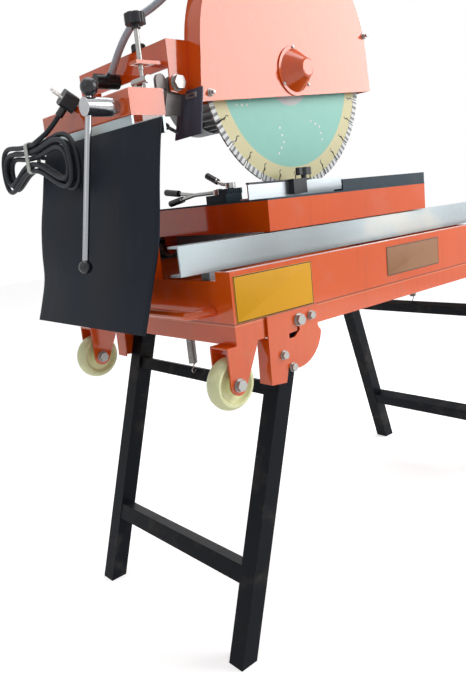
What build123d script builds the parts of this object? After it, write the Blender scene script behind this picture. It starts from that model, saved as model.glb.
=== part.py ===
from build123d import *
from math import atan2, cos, degrees, hypot, pi, radians, sin, sqrt, tan
import os

os.makedirs("parts", exist_ok=True)

# Main sizes in millimetres. Places are given from the tray's near rear top corner:
# x forward, y to the far side, z up.
TRAY_L = 886.0
TRAY_W = 440.0
TRAY_H = 110.0
RIM = 636.0
REAR = -404.9
NEAR = -TRAY_W / 2
MID_X = REAR + TRAY_L / 2

# Sheet steel of the tray
SHEET = 3.0
CREASE = 78.0
BAND_STEP = 1.5
FLOOR = -75.0
END_DROP = 14.0
TAB = 32.0

# Folding legs
LEG = 32.0
LEG_WALL = 2.0
LEG_SPLAY = 17.5
LEG_PIVOT = (133.0, -95.0)
LEG_INSET = 6.0
PIVOT_R = 5.0
RUNNING = 0.06
BRACE_UPPER = 22.0
BRACE_LOWER = 30.0
BRACE_UPPER_AT = 117.0
BRACE_LOWER_AT = 425.0

# Transport wheels
WHEEL_R = 42.0
WHEEL_W = 30.0
WHEEL_Y = 22.0
WHEEL_AXLE = (-1.0, -169.0)

# Rails and cart
RAIL_Y = 46.0
RAIL_H = 44.0
RAIL_W = 26.0
RAIL_WALL = 3.0
RAIL_OVERHANG = 51.0
CART_X = (131.0, 580.0)
CART_Y = (41.0, 399.0)
CART_Z = (45.0, 94.0)
MAT = 3.0
SLOT_W = 9.0
ROLLER_R = 17.0
ROLLER_X = (170.0, 541.0)
ROLLER_Z = 19.3

# Head
BEAM_X = (-26.0, 39.0)
BEAM_Y = (156.0, 440.0)
BEAM_Z = (239.0, 279.0)
ARM_PIVOT = (65.0, 287.0)
BLADE_R = 200.0
BLADE_AXIS = (306.0, 310.0)
BLADE_Y = 140.0
CORE_T = 2.8
SEGMENTS = 28
SEGMENT_H = 11.0
SEGMENT_T = 3.6
GUARD_Y = (121.0, 161.0)
GUARD_R = 211.0
GUARD_CENTRE = (306.0, 330.0)
GUARD_LEAN = 6.6
GUARD_SHEET = 2.5

# Lock screw and its bar
LOCK_Y = 192.0
LOCK_Z = 256.0
LOCK_TIP = -84.0
BAR_R = 5.0
BAR_LEAN = 11.0
BALL_R = (13.5, 10.5)

# Cord
CORD_R = 4.2


def level(z):
    """Horizontal plane at height z, with x and y measured from the tray's corner."""
    return Plane(origin=(REAR, NEAR, RIM + z), x_dir=(1, 0, 0), z_dir=(0, 0, 1))


def side(y):
    """Upright lengthwise plane at y, drawn in x and z, facing the near side."""
    return Plane(origin=(REAR, NEAR + y, RIM), x_dir=(1, 0, 0), z_dir=(0, -1, 0))


def end(x):
    """Upright crosswise plane at x, drawn in y and z, facing forward."""
    return Plane(origin=(REAR + x, NEAR, RIM), x_dir=(0, 1, 0), z_dir=(1, 0, 0))


def at(x, y, z):
    """A point given from the tray's corner, in the part's own frame."""
    return Vector(REAR + x, NEAR + y, RIM + z)


def save(piece, name):
    piece.part.label = name
    export_step(piece.part, f"parts/{name}.step")


def hex_bolt(x, z, y_head, y_tip, shank_r):
    """A bolt along y: its washer and hexagon head lie beyond y_head, its shank ends at y_tip."""
    facing = 1 if y_tip > y_head else -1
    washer_h = 1.6
    with BuildPart() as bolt:
        with BuildSketch(side(y_head)):
            with Locations((x, z)):
                Circle(2.1 * shank_r)
        extrude(amount=facing * washer_h)
        with BuildSketch(side(y_head - facing * washer_h)):
            with Locations((x, z)):
                RegularPolygon(1.85 * shank_r, 6)
        extrude(amount=facing * 1.3 * shank_r)
        with BuildSketch(side(y_head)):
            with Locations((x, z)):
                Circle(shank_r)
        extrude(amount=y_head - y_tip)
    return bolt.part


# Tray: a folded steel tub with low ends between full corner tabs
with BuildPart() as tray:
    middle = (TRAY_L / 2, TRAY_W / 2)
    with BuildSketch(level(-TRAY_H)):
        with Locations(middle):
            Rectangle(TRAY_L - 2 * BAND_STEP, TRAY_W - 2 * BAND_STEP)
    extrude(amount=TRAY_H - CREASE)
    with BuildSketch(level(-CREASE)):
        with Locations(middle):
            Rectangle(TRAY_L, TRAY_W)
    extrude(amount=CREASE)
    with BuildSketch(level(FLOOR)):
        with Locations(middle):
            Rectangle(TRAY_L - 2 * SHEET, TRAY_W - 2 * SHEET)
    extrude(amount=-FLOOR, mode=Mode.SUBTRACT)
    with BuildSketch(level(-TRAY_H)):
        with Locations(middle):
            Rectangle(TRAY_L - 2 * (BAND_STEP + SHEET), TRAY_W - 2 * (BAND_STEP + SHEET))
    extrude(amount=TRAY_H + FLOOR - SHEET, mode=Mode.SUBTRACT)
    with BuildSketch(level(-END_DROP)):
        with Locations((0, TRAY_W / 2), (TRAY_L, TRAY_W / 2)):
            Rectangle(4 * SHEET, TRAY_W - 2 * TAB)
    extrude(amount=END_DROP, mode=Mode.SUBTRACT)
    rim_lip = 14.0
    with BuildSketch(level(-SHEET)):
        with Locations((TRAY_L / 2, rim_lip / 2), (TRAY_L / 2, TRAY_W - rim_lip / 2)):
            Rectangle(TRAY_L, rim_lip)
    extrude(amount=SHEET)
    shelf = (24.0, 70.0)
    shelf_y = RAIL_Y + 24.0
    with BuildSketch(level(-END_DROP - SHEET)):
        for x in (shelf[0] / 2, TRAY_L - shelf[0] / 2):
            with Locations((x, shelf_y), (x, TRAY_W - shelf_y)):
                Rectangle(*shelf)
    extrude(amount=SHEET)
    with BuildSketch(side(TRAY_W)):
        for x in (LEG_PIVOT[0], TRAY_L - LEG_PIVOT[0]):
            with Locations((x, LEG_PIVOT[1])):
                Circle(PIVOT_R + 1)
    extrude(amount=TRAY_W, mode=Mode.SUBTRACT)
save(tray, "tray")

# Water pan: a dark flat liner on the tray's floor, whose walls hold the water
PAN_X = (52.0, TRAY_L - 6.0)
PAN_Y = (6.0, TRAY_W - 6.0)
PAN_WALL = 2.5
with BuildPart() as water_pan:
    with BuildSketch(level(FLOOR)):
        with Locations((sum(PAN_X) / 2, sum(PAN_Y) / 2)):
            RectangleRounded(PAN_X[1] - PAN_X[0], PAN_Y[1] - PAN_Y[0], 14)
    extrude(amount=PAN_WALL)
save(water_pan, "water_pan")

# Rails: galvanised channels that open towards each other, on feet on the end shelves
with BuildPart() as rail_near:
    with BuildSketch(end(-RAIL_OVERHANG)):
        with Locations((RAIL_Y + RAIL_W / 2, RAIL_H / 2 - 1)):
            Rectangle(RAIL_W, RAIL_H)
        with Locations((RAIL_Y + RAIL_W / 2 + RAIL_WALL, RAIL_H / 2 - 1)):
            Rectangle(RAIL_W, RAIL_H - 2 * RAIL_WALL, mode=Mode.SUBTRACT)
    extrude(amount=TRAY_L + 2 * RAIL_OVERHANG)
    rail_foot = 20.0
    with BuildSketch(level(-END_DROP)):
        with Locations((14, RAIL_Y + RAIL_W / 2), (TRAY_L - 14, RAIL_Y + RAIL_W / 2)):
            Rectangle(rail_foot, rail_foot)
    extrude(amount=END_DROP - 1)
save(rail_near, "rail_near")

with BuildPart() as rail_far:
    mirror(rail_near.part, about=Plane.XZ)
save(rail_far, "rail_far")

# Uprights: two channels inside the rear end that carry the head beam
UPRIGHT_Y = (194.0, 280.0)
UPRIGHT = (18.0, 50.0, 4.0)
with BuildPart() as uprights:
    with BuildSketch(level(FLOOR)):
        for y in UPRIGHT_Y:
            with Locations((SHEET + UPRIGHT[0] / 2, y + UPRIGHT[1] / 2)):
                Rectangle(UPRIGHT[0], UPRIGHT[1])
            with Locations((SHEET + UPRIGHT[0] / 2 + UPRIGHT[2], y + UPRIGHT[1] / 2)):
                Rectangle(UPRIGHT[0], UPRIGHT[1] - 2 * UPRIGHT[2], mode=Mode.SUBTRACT)
    extrude(amount=BEAM_Z[0] - FLOOR)
save(uprights, "uprights")

# Head beam: a box tube with a welded cap on its near end
BEAM_WALL = 4.0
with BuildPart() as head_beam:
    with BuildSketch(side(BEAM_Y[1])):
        with Locations((sum(BEAM_X) / 2, sum(BEAM_Z) / 2)):
            RectangleRounded(BEAM_X[1] - BEAM_X[0], BEAM_Z[1] - BEAM_Z[0], 3)
    extrude(amount=BEAM_Y[1] - BEAM_Y[0])
    with BuildSketch(side(BEAM_Y[1])):
        with Locations((sum(BEAM_X) / 2, sum(BEAM_Z) / 2)):
            Rectangle(BEAM_X[1] - BEAM_X[0] - 2 * BEAM_WALL, BEAM_Z[1] - BEAM_Z[0] - 2 * BEAM_WALL)
    extrude(amount=BEAM_Y[1] - BEAM_Y[0] - BEAM_WALL, mode=Mode.SUBTRACT)
save(head_beam, "head_beam")

# Curtain bar and the rubber splash curtain that hangs from it, leaning out over the handle
CURTAIN_BAR_Y = (78.0, 436.0)
CURTAIN_TOP = 224.0
CURTAIN_T = 3.0
with BuildPart() as curtain_bar:
    near_y, far_y = CURTAIN_BAR_Y
    bar_foot = BEAM_Z[0] - 36
    notch = CURTAIN_TOP + 2
    with BuildSketch(end(BEAM_X[0])):
        with BuildLine():
            Polyline((near_y, bar_foot), (far_y, bar_foot), (far_y, BEAM_Z[0]), (BEAM_Y[0], BEAM_Z[0]))
            Polyline((BEAM_Y[0], BEAM_Z[0]), (BEAM_Y[0], notch), (near_y, notch), (near_y, bar_foot))
        make_face()
    extrude(amount=4)
save(curtain_bar, "curtain_bar")


def curtain_section(z, x_near, x_far, y_near, y_far, bulge):
    """One level section of the curtain: two like arcs a sheet's thickness apart."""
    y_mid = (y_near + y_far) / 2
    x_mid = (x_near + x_far) / 2 - bulge
    with BuildSketch(level(z)) as section:
        with BuildLine():
            ThreePointArc((x_near, y_near), (x_mid, y_mid), (x_far, y_far))
            Line((x_far, y_far), (x_far - CURTAIN_T, y_far))
            ThreePointArc((x_far - CURTAIN_T, y_far), (x_mid - CURTAIN_T, y_mid), (x_near - CURTAIN_T, y_near))
            Line((x_near - CURTAIN_T, y_near), (x_near, y_near))
        make_face()
    return section.sketch


curtain_levels = [
    curtain_section(CURTAIN_TOP, -26.3, -26.3, 78, 434, 0.4),
    curtain_section(188, -34, -40, 79, 433, 1),
    curtain_section(135, -43, -53, 80, 431, 0.8),
    curtain_section(88, -50, -64, 80, 431, 0.6),
    curtain_section(40, -60, -71, 80, 431, 1),
    curtain_section(-6, -76, -75, 80, 431, 5),
    curtain_section(-47, -90, -87, 80, 431, 3),
    curtain_section(-79, -101.5, -98.5, 80, 431, 0.6),
]
with BuildPart() as curtain:
    loft(curtain_levels, ruled=True)
save(curtain, "curtain")

# Carrying handle: a bent rod across the rear end
HANDLE_R = 7.0
HANDLE_Y = (44.0, TRAY_W - 44.0)
HANDLE_Z = -60.0
HANDLE_REACH = 40.0
with BuildPart() as carry_handle:
    with BuildLine() as handle_line:
        FilletPolyline(
            at(0, HANDLE_Y[0], HANDLE_Z),
            at(-HANDLE_REACH, HANDLE_Y[0] + 8, HANDLE_Z),
            at(-HANDLE_REACH, HANDLE_Y[1] - 8, HANDLE_Z),
            at(0, HANDLE_Y[1], HANDLE_Z),
            radius=18,
        )
    with BuildSketch(Plane(handle_line.line @ 0, z_dir=handle_line.line % 0)):
        Circle(HANDLE_R)
    sweep()
    split(bisect_by=Plane(at(0, 0, 0), z_dir=(-1, 0, 0)), keep=Keep.TOP)
save(carry_handle, "carry_handle")

# Wheel forks: two tapered plates on a top plate, under each rear corner
FORK_TOP = (-17.0, 45.0)
FORK_PLATE = 3.0
FORK_Y = (1.5, 42.5)
with BuildPart() as fork_near:
    for y in (FORK_Y[0] + FORK_PLATE, FORK_Y[1]):
        with BuildSketch(side(y)):
            with Locations(WHEEL_AXLE):
                Circle(16)
            with Locations((sum(FORK_TOP) / 2, -TRAY_H - 1)):
                Rectangle(FORK_TOP[1] - FORK_TOP[0], 2)
            make_hull()
            with Locations(WHEEL_AXLE):
                Circle(PIVOT_R, mode=Mode.SUBTRACT)
        extrude(amount=FORK_PLATE)
    with BuildSketch(level(-TRAY_H)):
        with Locations((sum(FORK_TOP) / 2, sum(FORK_Y) / 2)):
            Rectangle(FORK_TOP[1] - FORK_TOP[0], FORK_Y[1] - FORK_Y[0])
    extrude(amount=-FORK_PLATE)
with BuildPart() as wheel_forks:
    add(fork_near.part)
    mirror(fork_near.part, about=Plane.XZ)
save(wheel_forks, "wheel_forks")

axle_bolt = hex_bolt(*WHEEL_AXLE, FORK_Y[0], FORK_Y[1], PIVOT_R)
axle_nut = hex_bolt(*WHEEL_AXLE, FORK_Y[1], FORK_Y[0], PIVOT_R)
with BuildPart() as wheel_axles:
    add(axle_bolt)
    add(axle_nut)
    mirror(about=Plane.XZ)
save(wheel_axles, "wheel_axles")

# Wheels: cast nylon with a dished web on each side
with BuildPart() as wheel_near:
    with BuildSketch(Plane(at(WHEEL_AXLE[0], WHEEL_Y, WHEEL_AXLE[1]), x_dir=(0, 1, 0), z_dir=(1, 0, 0))):
        with BuildLine():
            half = WHEEL_W / 2
            bore = PIVOT_R + RUNNING
            Polyline((-half, bore), (-half, 15), (-half + 7, 17), (-half + 7, 26), (-half + 1, 31))
            Line((-half + 1, 31), (-half + 1, WHEEL_R - 7))
            ThreePointArc((-half + 1, WHEEL_R - 7), (0, WHEEL_R), (half - 1, WHEEL_R - 7))
            Line((half - 1, WHEEL_R - 7), (half - 1, 31))
            Polyline((half - 1, 31), (half - 7, 26), (half - 7, 17), (half, 15), (half, bore), (-half, bore))
        make_face()
    revolve(axis=Axis(at(WHEEL_AXLE[0], WHEEL_Y, WHEEL_AXLE[1]), (0, 1, 0)))
save(wheel_near, "wheel_near")

with BuildPart() as wheel_far:
    mirror(wheel_near.part, about=Plane.XZ)
save(wheel_far, "wheel_far")

# Leg brackets: quadrant plates with a bent rear edge and a locking slot
BRACKET_T = 3.0
SMALL_BOLTS = ((162.0, -93.0), (93.0, -144.0), (111.0, -168.0))
SMALL_BOLT_R = 3.6
with BuildPart() as bracket:
    with BuildSketch(side(0)):
        with BuildLine():
            Polyline((179, -78), (64, -78), (62, -186), (95, -190), (102, -167))
            Line((102, -167), (126, -173))
            ThreePointArc((126, -173), (168, -156), (185, -123))
            Polyline((185, -123), (178, -113), (179, -78))
        make_face()
        with BuildLine():
            Polyline((128, -103), (128, -112), (109, -113), (109, -121), (121, -121), (134, -112), (134, -103), (128, -103))
        make_face(mode=Mode.SUBTRACT)
        with Locations(LEG_PIVOT):
            Circle(PIVOT_R, mode=Mode.SUBTRACT)
        with Locations(*SMALL_BOLTS):
            Circle(SMALL_BOLT_R, mode=Mode.SUBTRACT)
    extrude(amount=BRACKET_T)
    with BuildSketch(side(24)):
        with BuildLine():
            Polyline((64, -112), (62, -186), (65, -186.4), (67, -112), (64, -112))
        make_face()
    extrude(amount=24)
with BuildPart() as leg_brackets:
    add(bracket.part)
    mirror(about=Plane.XZ)
    mirror(about=Plane.YZ.offset(MID_X))
save(leg_brackets, "leg_brackets")

leg_nut_y = LEG_INSET + LEG + 1
corner_bolts = [
    hex_bolt(*LEG_PIVOT, -BRACKET_T, leg_nut_y, PIVOT_R),
    hex_bolt(*LEG_PIVOT, leg_nut_y, 0, PIVOT_R),
] + [hex_bolt(*spot, -BRACKET_T, 0, SMALL_BOLT_R) for spot in SMALL_BOLTS]
with BuildPart() as leg_bolts:
    add(corner_bolts)
    mirror(about=Plane.XZ)
    mirror(about=Plane.YZ.offset(MID_X))
save(leg_bolts, "leg_bolts")

# Leg frames: square tubes with two cross tubes, cut level with the floor
lean = radians(LEG_SPLAY)
LEG_DOWN = Vector(-sin(lean), 0, -cos(lean))


def leg_point(distance, y):
    """The point this far down a rear leg's centre line from its pivot."""
    return at(LEG_PIVOT[0], y, LEG_PIVOT[1]) + LEG_DOWN * distance


with BuildPart() as rear_leg_frame:
    for y in (LEG_INSET + LEG / 2, TRAY_W - LEG_INSET - LEG / 2):
        with BuildSketch(Plane(leg_point(0, y), x_dir=(0, 1, 0), z_dir=LEG_DOWN)):
            Rectangle(LEG, LEG)
            Rectangle(LEG - 2 * LEG_WALL, LEG - 2 * LEG_WALL, mode=Mode.SUBTRACT)
        extrude(amount=RIM)
        with BuildSketch(Plane(leg_point(0, y - LEG / 2), x_dir=(1, 0, 0), z_dir=(0, 1, 0))):
            Circle(LEG / 2)
        extrude(amount=LEG)
    split(bisect_by=Plane.XY, keep=Keep.TOP)
    with BuildSketch(side(TRAY_W)):
        with Locations(LEG_PIVOT):
            Circle(PIVOT_R + RUNNING)
    extrude(amount=TRAY_W, mode=Mode.SUBTRACT)
    brace_y = LEG_INSET + LEG
    for distance, size in ((BRACE_UPPER_AT, BRACE_UPPER), (BRACE_LOWER_AT, BRACE_LOWER)):
        with BuildSketch(Plane(leg_point(distance, brace_y), x_dir=LEG_DOWN, z_dir=(0, 1, 0))):
            Rectangle(size, size)
            Rectangle(size - 2 * LEG_WALL, size - 2 * LEG_WALL, mode=Mode.SUBTRACT)
        extrude(amount=TRAY_W - 2 * brace_y)
save(rear_leg_frame, "rear_leg_frame")

with BuildPart() as front_leg_frame:
    mirror(rear_leg_frame.part, about=Plane.YZ.offset(MID_X))
save(front_leg_frame, "front_leg_frame")

# Blade: a slotted steel core with sintered segments, one at each pitch round its rim
PITCH = 360 / SEGMENTS
GAP = 4.2
AXIS_AT = at(BLADE_AXIS[0], BLADE_Y, BLADE_AXIS[1])
SPIN = Axis(AXIS_AT, (0, 1, 0))
SHAFT_R = 12.5
with BuildPart() as blade_core:
    with BuildSketch(side(BLADE_Y + CORE_T / 2)):
        with Locations(BLADE_AXIS):
            Circle(BLADE_R - SEGMENT_H)
            Circle(SHAFT_R, mode=Mode.SUBTRACT)
            with PolarLocations(BLADE_R - SEGMENT_H, SEGMENTS):
                Rectangle(26, 2.2, mode=Mode.SUBTRACT)
    extrude(amount=CORE_T)
save(blade_core, "blade_core")

with BuildPart() as blade_segments:
    with BuildSketch(side(BLADE_Y + SEGMENT_T / 2)):
        with Locations(BLADE_AXIS):
            Circle(BLADE_R)
            Circle(BLADE_R - SEGMENT_H, mode=Mode.SUBTRACT)
            with PolarLocations(BLADE_R - SEGMENT_H / 2, SEGMENTS):
                Rectangle(SEGMENT_H + 4, GAP, mode=Mode.SUBTRACT)
    extrude(amount=SEGMENT_T)
save(blade_segments, "blade_segments")

# Arbor: motor shaft end, two clamping flanges and the nut
FLANGE_R = 38.0
with BuildPart() as arbor:
    for y, r, length in ((185, SHAFT_R, 62), (BLADE_Y + CORE_T / 2 + 9, FLANGE_R, 9),
                         (BLADE_Y - CORE_T / 2, FLANGE_R, 7)):
        with BuildSketch(side(y)):
            with Locations(BLADE_AXIS):
                Circle(r)
        extrude(amount=length)
    with BuildSketch(side(BLADE_Y - CORE_T / 2 - 7)):
        with Locations(BLADE_AXIS):
            RegularPolygon(19, 6)
    extrude(amount=7)
save(arbor, "arbor")


def guard_side(z, inset):
    """Half the guard's width at height z, on the straight side below its round top."""
    lean = radians(GUARD_LEAN)
    return (GUARD_R - inset - sin(lean) * (z - GUARD_CENTRE[1])) / cos(lean)


def guard_outline(inset, bottom_left, bottom_right):
    """The guard's outline: sides that lean in to a half-round top, and a sloping lower edge."""
    x, z = GUARD_CENTRE
    radius = GUARD_R - inset
    shoulder = radius * cos(radians(GUARD_LEAN))
    shoulder_z = z + radius * sin(radians(GUARD_LEAN))
    low_left = (x - guard_side(bottom_left, inset), bottom_left)
    low_right = (x + guard_side(bottom_right, inset), bottom_right)
    with BuildSketch() as outline:
        with BuildLine():
            Polyline((x - shoulder, shoulder_z), low_left, low_right, (x + shoulder, shoulder_z))
            ThreePointArc((x + shoulder, shoulder_z), (x, z + radius), (x - shoulder, shoulder_z))
        make_face()
    return outline.sketch


# Guard: a back shell with a curved rim, and a front plate that closes it
GUARD_LOW = (254.5, 282.7)
guard_shape = guard_outline(0, *GUARD_LOW)
guard_inside = guard_outline(GUARD_SHEET, 100, 100)
with BuildPart() as guard_shell:
    with BuildSketch(side(GUARD_Y[1])):
        add(guard_shape)
    extrude(amount=GUARD_Y[1] - GUARD_Y[0] - GUARD_SHEET)
    with BuildSketch(side(GUARD_Y[1] - GUARD_SHEET)):
        add(guard_inside)
    extrude(amount=GUARD_Y[1] - GUARD_Y[0], mode=Mode.SUBTRACT)
    with BuildSketch(side(GUARD_Y[1])):
        with Locations(BLADE_AXIS):
            Circle(SHAFT_R + 8)
    extrude(amount=2 * GUARD_SHEET, mode=Mode.SUBTRACT)
save(guard_shell, "guard_shell")

CONE_BASE_R = 36.0
with BuildPart() as guard_front:
    with BuildSketch(side(GUARD_Y[0] + GUARD_SHEET)):
        add(guard_shape)
        with Locations(BLADE_AXIS):
            Circle(CONE_BASE_R - 4, mode=Mode.SUBTRACT)
    extrude(amount=GUARD_SHEET)
save(guard_front, "guard_front")

# Cone cap over the shaft's end
with BuildPart() as guard_cone:
    front = at(BLADE_AXIS[0], GUARD_Y[0], BLADE_AXIS[1])
    with BuildSketch(Plane(front, x_dir=(0, -1, 0), z_dir=(-1, 0, 0))):
        with BuildLine():
            Polyline((0, CONE_BASE_R - 4), (0, 42), (2.5, 42), (2.5, CONE_BASE_R), (30, 16), (32, 13), (32, 0),
                     (29.5, 0), (29.5, 14), (0, CONE_BASE_R - 4))
        make_face()
    revolve(axis=Axis(front, (0, -1, 0)))
save(guard_cone, "guard_cone")

# Rubber flap behind the guard
with BuildPart() as splash_flap:
    with BuildSketch(Plane(at(87, 0, 276), x_dir=(0, 1, 0), z_dir=Vector(1, 0, -0.2))):
        with BuildLine():
            Polyline((115, 0), (173, 0), (181, -74), (113, -72), (115, 0))
        make_face()
    extrude(amount=-3)
save(splash_flap, "splash_flap")

# Swing arm: a web between two cheeks, with a slotted lug for the depth rod
ARM_X = 52.0
CHEEK_Y = (152.0, 420.0)
CHEEK_T = 3.0
ARM_TOP = 351.0
ROD_AT = (14.0, 172.0)
with BuildPart() as swing_arm:
    for y in CHEEK_Y:
        with BuildSketch(side(y + CHEEK_T)):
            with BuildLine():
                cheek_low = (GUARD_CENTRE[0] - guard_side(282, 0) - 0.05, 282)
                cheek_top = (GUARD_CENTRE[0] - guard_side(ARM_TOP, 0) - 0.05, ARM_TOP)
                Polyline((ARM_X, ARM_TOP), (ARM_X, 274), (78, 270), cheek_low, cheek_top, (ARM_X, ARM_TOP))
            make_face()
            with Locations(ARM_PIVOT):
                Circle(6 + RUNNING, mode=Mode.SUBTRACT)
        extrude(amount=CHEEK_T)
    with BuildSketch(end(ARM_X)):
        with Locations(((CHEEK_Y[0] + CHEEK_Y[1]) / 2, ARM_TOP - 21)):
            Rectangle(CHEEK_Y[1] - CHEEK_Y[0], 42)
    extrude(amount=CHEEK_T)
    with BuildSketch(level(ARM_TOP - CHEEK_T)):
        with Locations((ARM_X + 11, (CHEEK_Y[0] + CHEEK_Y[1]) / 2)):
            Rectangle(22, CHEEK_Y[1] - CHEEK_Y[0])
    extrude(amount=CHEEK_T)
    with BuildSketch(level(315)):
        with Locations((ARM_X / 2, ROD_AT[1])):
            Rectangle(ARM_X, 20)
        with Locations((ROD_AT[0] + 2, ROD_AT[1])):
            SlotOverall(26, 10.5, mode=Mode.SUBTRACT)
    extrude(amount=5)
save(swing_arm, "swing_arm")

# Pivot brackets on the beam's front, and the bolts that the arm turns on
BRACKET_Y = (158.0, 406.0)
with BuildPart() as pivot_brackets:
    for y in BRACKET_Y:
        with BuildSketch(side(y + 10)):
            with Locations(ARM_PIVOT):
                Circle(13)
            with Locations((BEAM_X[1] + 15.5, 242)):
                Rectangle(31, 6)
            make_hull()
            with Locations(ARM_PIVOT):
                Circle(6, mode=Mode.SUBTRACT)
        extrude(amount=10)
        with BuildSketch(side(y + 8)):
            with Locations((BEAM_X[1] + 1, 292)):
                Circle(9.5)
            with Locations((BEAM_X[1] + 1, BEAM_Z[1] + 1)):
                Rectangle(19, 2)
            make_hull()
        extrude(amount=6)
save(pivot_brackets, "pivot_brackets")

near_pivot = hex_bolt(*ARM_PIVOT, CHEEK_Y[0] - 0.4, BRACKET_Y[0] + 10, 6)
far_pivot = hex_bolt(*ARM_PIVOT, CHEEK_Y[1] + CHEEK_T + 0.4, BRACKET_Y[1], 6)
with BuildPart() as pivot_bolts:
    add(near_pivot)
    add(far_pivot)
save(pivot_bolts, "pivot_bolts")

# Depth rod on a swivel pin, and its knob
with BuildPart() as depth_rod:
    with BuildSketch(side(ROD_AT[1] + 24)):
        with Locations((ROD_AT[0], 292)):
            Circle(6)
    extrude(amount=40)
    with BuildSketch(level(BEAM_Z[1])):
        with Locations((ROD_AT[0], ROD_AT[1] + 14), (ROD_AT[0], ROD_AT[1] - 10)):
            Rectangle(10, 8)
    extrude(amount=9)
    with BuildSketch(level(292)):
        with Locations(ROD_AT):
            Circle(3)
    extrude(amount=16)
    with BuildSketch(level(308)):
        with Locations(ROD_AT):
            Circle(4)
    extrude(amount=70)
save(depth_rod, "depth_rod")

with BuildPart() as depth_knob:
    with BuildSketch(level(366)):
        with Locations(ROD_AT):
            Circle(7)
    extrude(amount=6)
    with BuildSketch(level(372)):
        with Locations(ROD_AT):
            Circle(16)
            with PolarLocations(17.5, 8):
                Circle(3, mode=Mode.SUBTRACT)
    extrude(amount=16)
    fillet(depth_knob.faces().sort_by(Axis.Z)[-1].edges(), 2)
    with BuildSketch(level(366)):
        with Locations(ROD_AT):
            Circle(4 + RUNNING)
    extrude(amount=12.2, mode=Mode.SUBTRACT)
save(depth_knob, "depth_knob")

# Lock screw: a chromed hub on the beam, with a sliding bar and ball ends
BAR_DIR = Vector(-sin(radians(BAR_LEAN)), 0, -cos(radians(BAR_LEAN)))
BAR_AT = at(LOCK_TIP + 9, LOCK_Y, LOCK_Z)
BAR_LENGTH = 265.5
BAR_ABOVE = 28.5
HUB_FOOT = -37.0
with BuildPart() as lock_hub:
    with BuildSketch(end(HUB_FOOT)):
        with Locations((LOCK_Y, LOCK_Z)):
            Circle(14)
    extrude(amount=LOCK_TIP - HUB_FOOT)
    fillet(lock_hub.faces().sort_by(Axis.X)[0].edges(), 2)
    with BuildSketch(end(BEAM_X[0])):
        with Locations((LOCK_Y, LOCK_Z)):
            Circle(10)
    extrude(amount=HUB_FOOT - BEAM_X[0])
    with BuildSketch(Plane(BAR_AT - BAR_DIR * 20, z_dir=BAR_DIR)):
        Circle(BAR_R + RUNNING)
    extrude(amount=40, mode=Mode.SUBTRACT)
save(lock_hub, "lock_hub")

with BuildPart() as lock_bar:
    bar_top = BAR_AT - BAR_DIR * BAR_ABOVE
    with BuildSketch(Plane(bar_top, z_dir=BAR_DIR)):
        Circle(BAR_R)
    extrude(amount=BAR_LENGTH)
    with Locations(bar_top):
        Sphere(BALL_R[0])
    with Locations(bar_top + BAR_DIR * BAR_LENGTH):
        Sphere(BALL_R[1])
save(lock_bar, "lock_bar")

# Motor: a finned body with a flange on the guard's back and a fan cover
MOTOR_R = 64.0
with BuildPart() as motor:
    for y, r, length in ((175, 80, 14), (345, MOTOR_R, 170)):
        with BuildSketch(side(y)):
            with Locations(BLADE_AXIS):
                Circle(r)
        extrude(amount=length)
    with BuildSketch(side(340)):
        with Locations(BLADE_AXIS):
            with PolarLocations(MOTOR_R + 2, 30):
                Rectangle(14, 2.5)
    extrude(amount=160)
    with BuildSketch(side(415)):
        with Locations(BLADE_AXIS):
            Circle(74)
    extrude(amount=70)
    fillet(motor.faces().sort_by(Axis.Y)[-1].edges(), 10)
    with BuildSketch(side(190)):
        with Locations(BLADE_AXIS):
            Circle(SHAFT_R + RUNNING)
    extrude(amount=40, mode=Mode.SUBTRACT)
save(motor, "motor")

# Cart: a folded frame with two deck plates and a slotted mat
cart_middle = (sum(CART_X) / 2, sum(CART_Y) / 2)
CART_SIZE = (CART_X[1] - CART_X[0], CART_Y[1] - CART_Y[0])
with BuildPart() as cart_frame:
    with BuildSketch(level(CART_Z[0])):
        with Locations(cart_middle):
            Rectangle(*CART_SIZE)
            Rectangle(CART_SIZE[0] - 2 * SHEET, CART_SIZE[1] - 2 * SHEET, mode=Mode.SUBTRACT)
    extrude(amount=CART_Z[1] - CART_Z[0])
save(cart_frame, "cart_frame")

with BuildPart() as deck_plates:
    with BuildSketch(level(CART_Z[1] - SHEET)):
        for y0, y1 in ((CART_Y[0] + SHEET, BLADE_Y - SLOT_W / 2), (BLADE_Y + SLOT_W / 2, CART_Y[1] - SHEET)):
            with Locations((cart_middle[0], (y0 + y1) / 2)):
                Rectangle(CART_SIZE[0] - 2 * SHEET, y1 - y0)
    extrude(amount=SHEET)
save(deck_plates, "deck_plates")

with BuildPart() as deck_mat:
    with BuildSketch(level(CART_Z[1])):
        with Locations(cart_middle):
            Rectangle(*CART_SIZE)
        with Locations((cart_middle[0], BLADE_Y)):
            SlotOverall(CART_SIZE[0] - 30, SLOT_W, mode=Mode.SUBTRACT)
    extrude(amount=MAT)
save(deck_mat, "deck_mat")

DECK = CART_Z[1] + MAT
with BuildPart() as upstand:
    with BuildSketch(end(320)):
        with Locations((CART_Y[0] + 1.5, DECK + 9.5)):
            Rectangle(3, 19)
        with Locations((CART_Y[0] + 10, DECK + 1.5)):
            Rectangle(20, 3)
    extrude(amount=CART_X[1] - 321)
save(upstand, "upstand")

# Fence: an angle along the deck, with a stop block and wing knob
FENCE_X = (146.0, 393.0)
FENCE_Y = 100.0
with BuildPart() as fence:
    with BuildSketch(end(FENCE_X[0])):
        with Locations((FENCE_Y, DECK + 12.5)):
            Rectangle(3, 25)
        with Locations((FENCE_Y + 9, DECK + 1.5)):
            Rectangle(21, 3)
    extrude(amount=FENCE_X[1] - FENCE_X[0])
save(fence, "fence")

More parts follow.
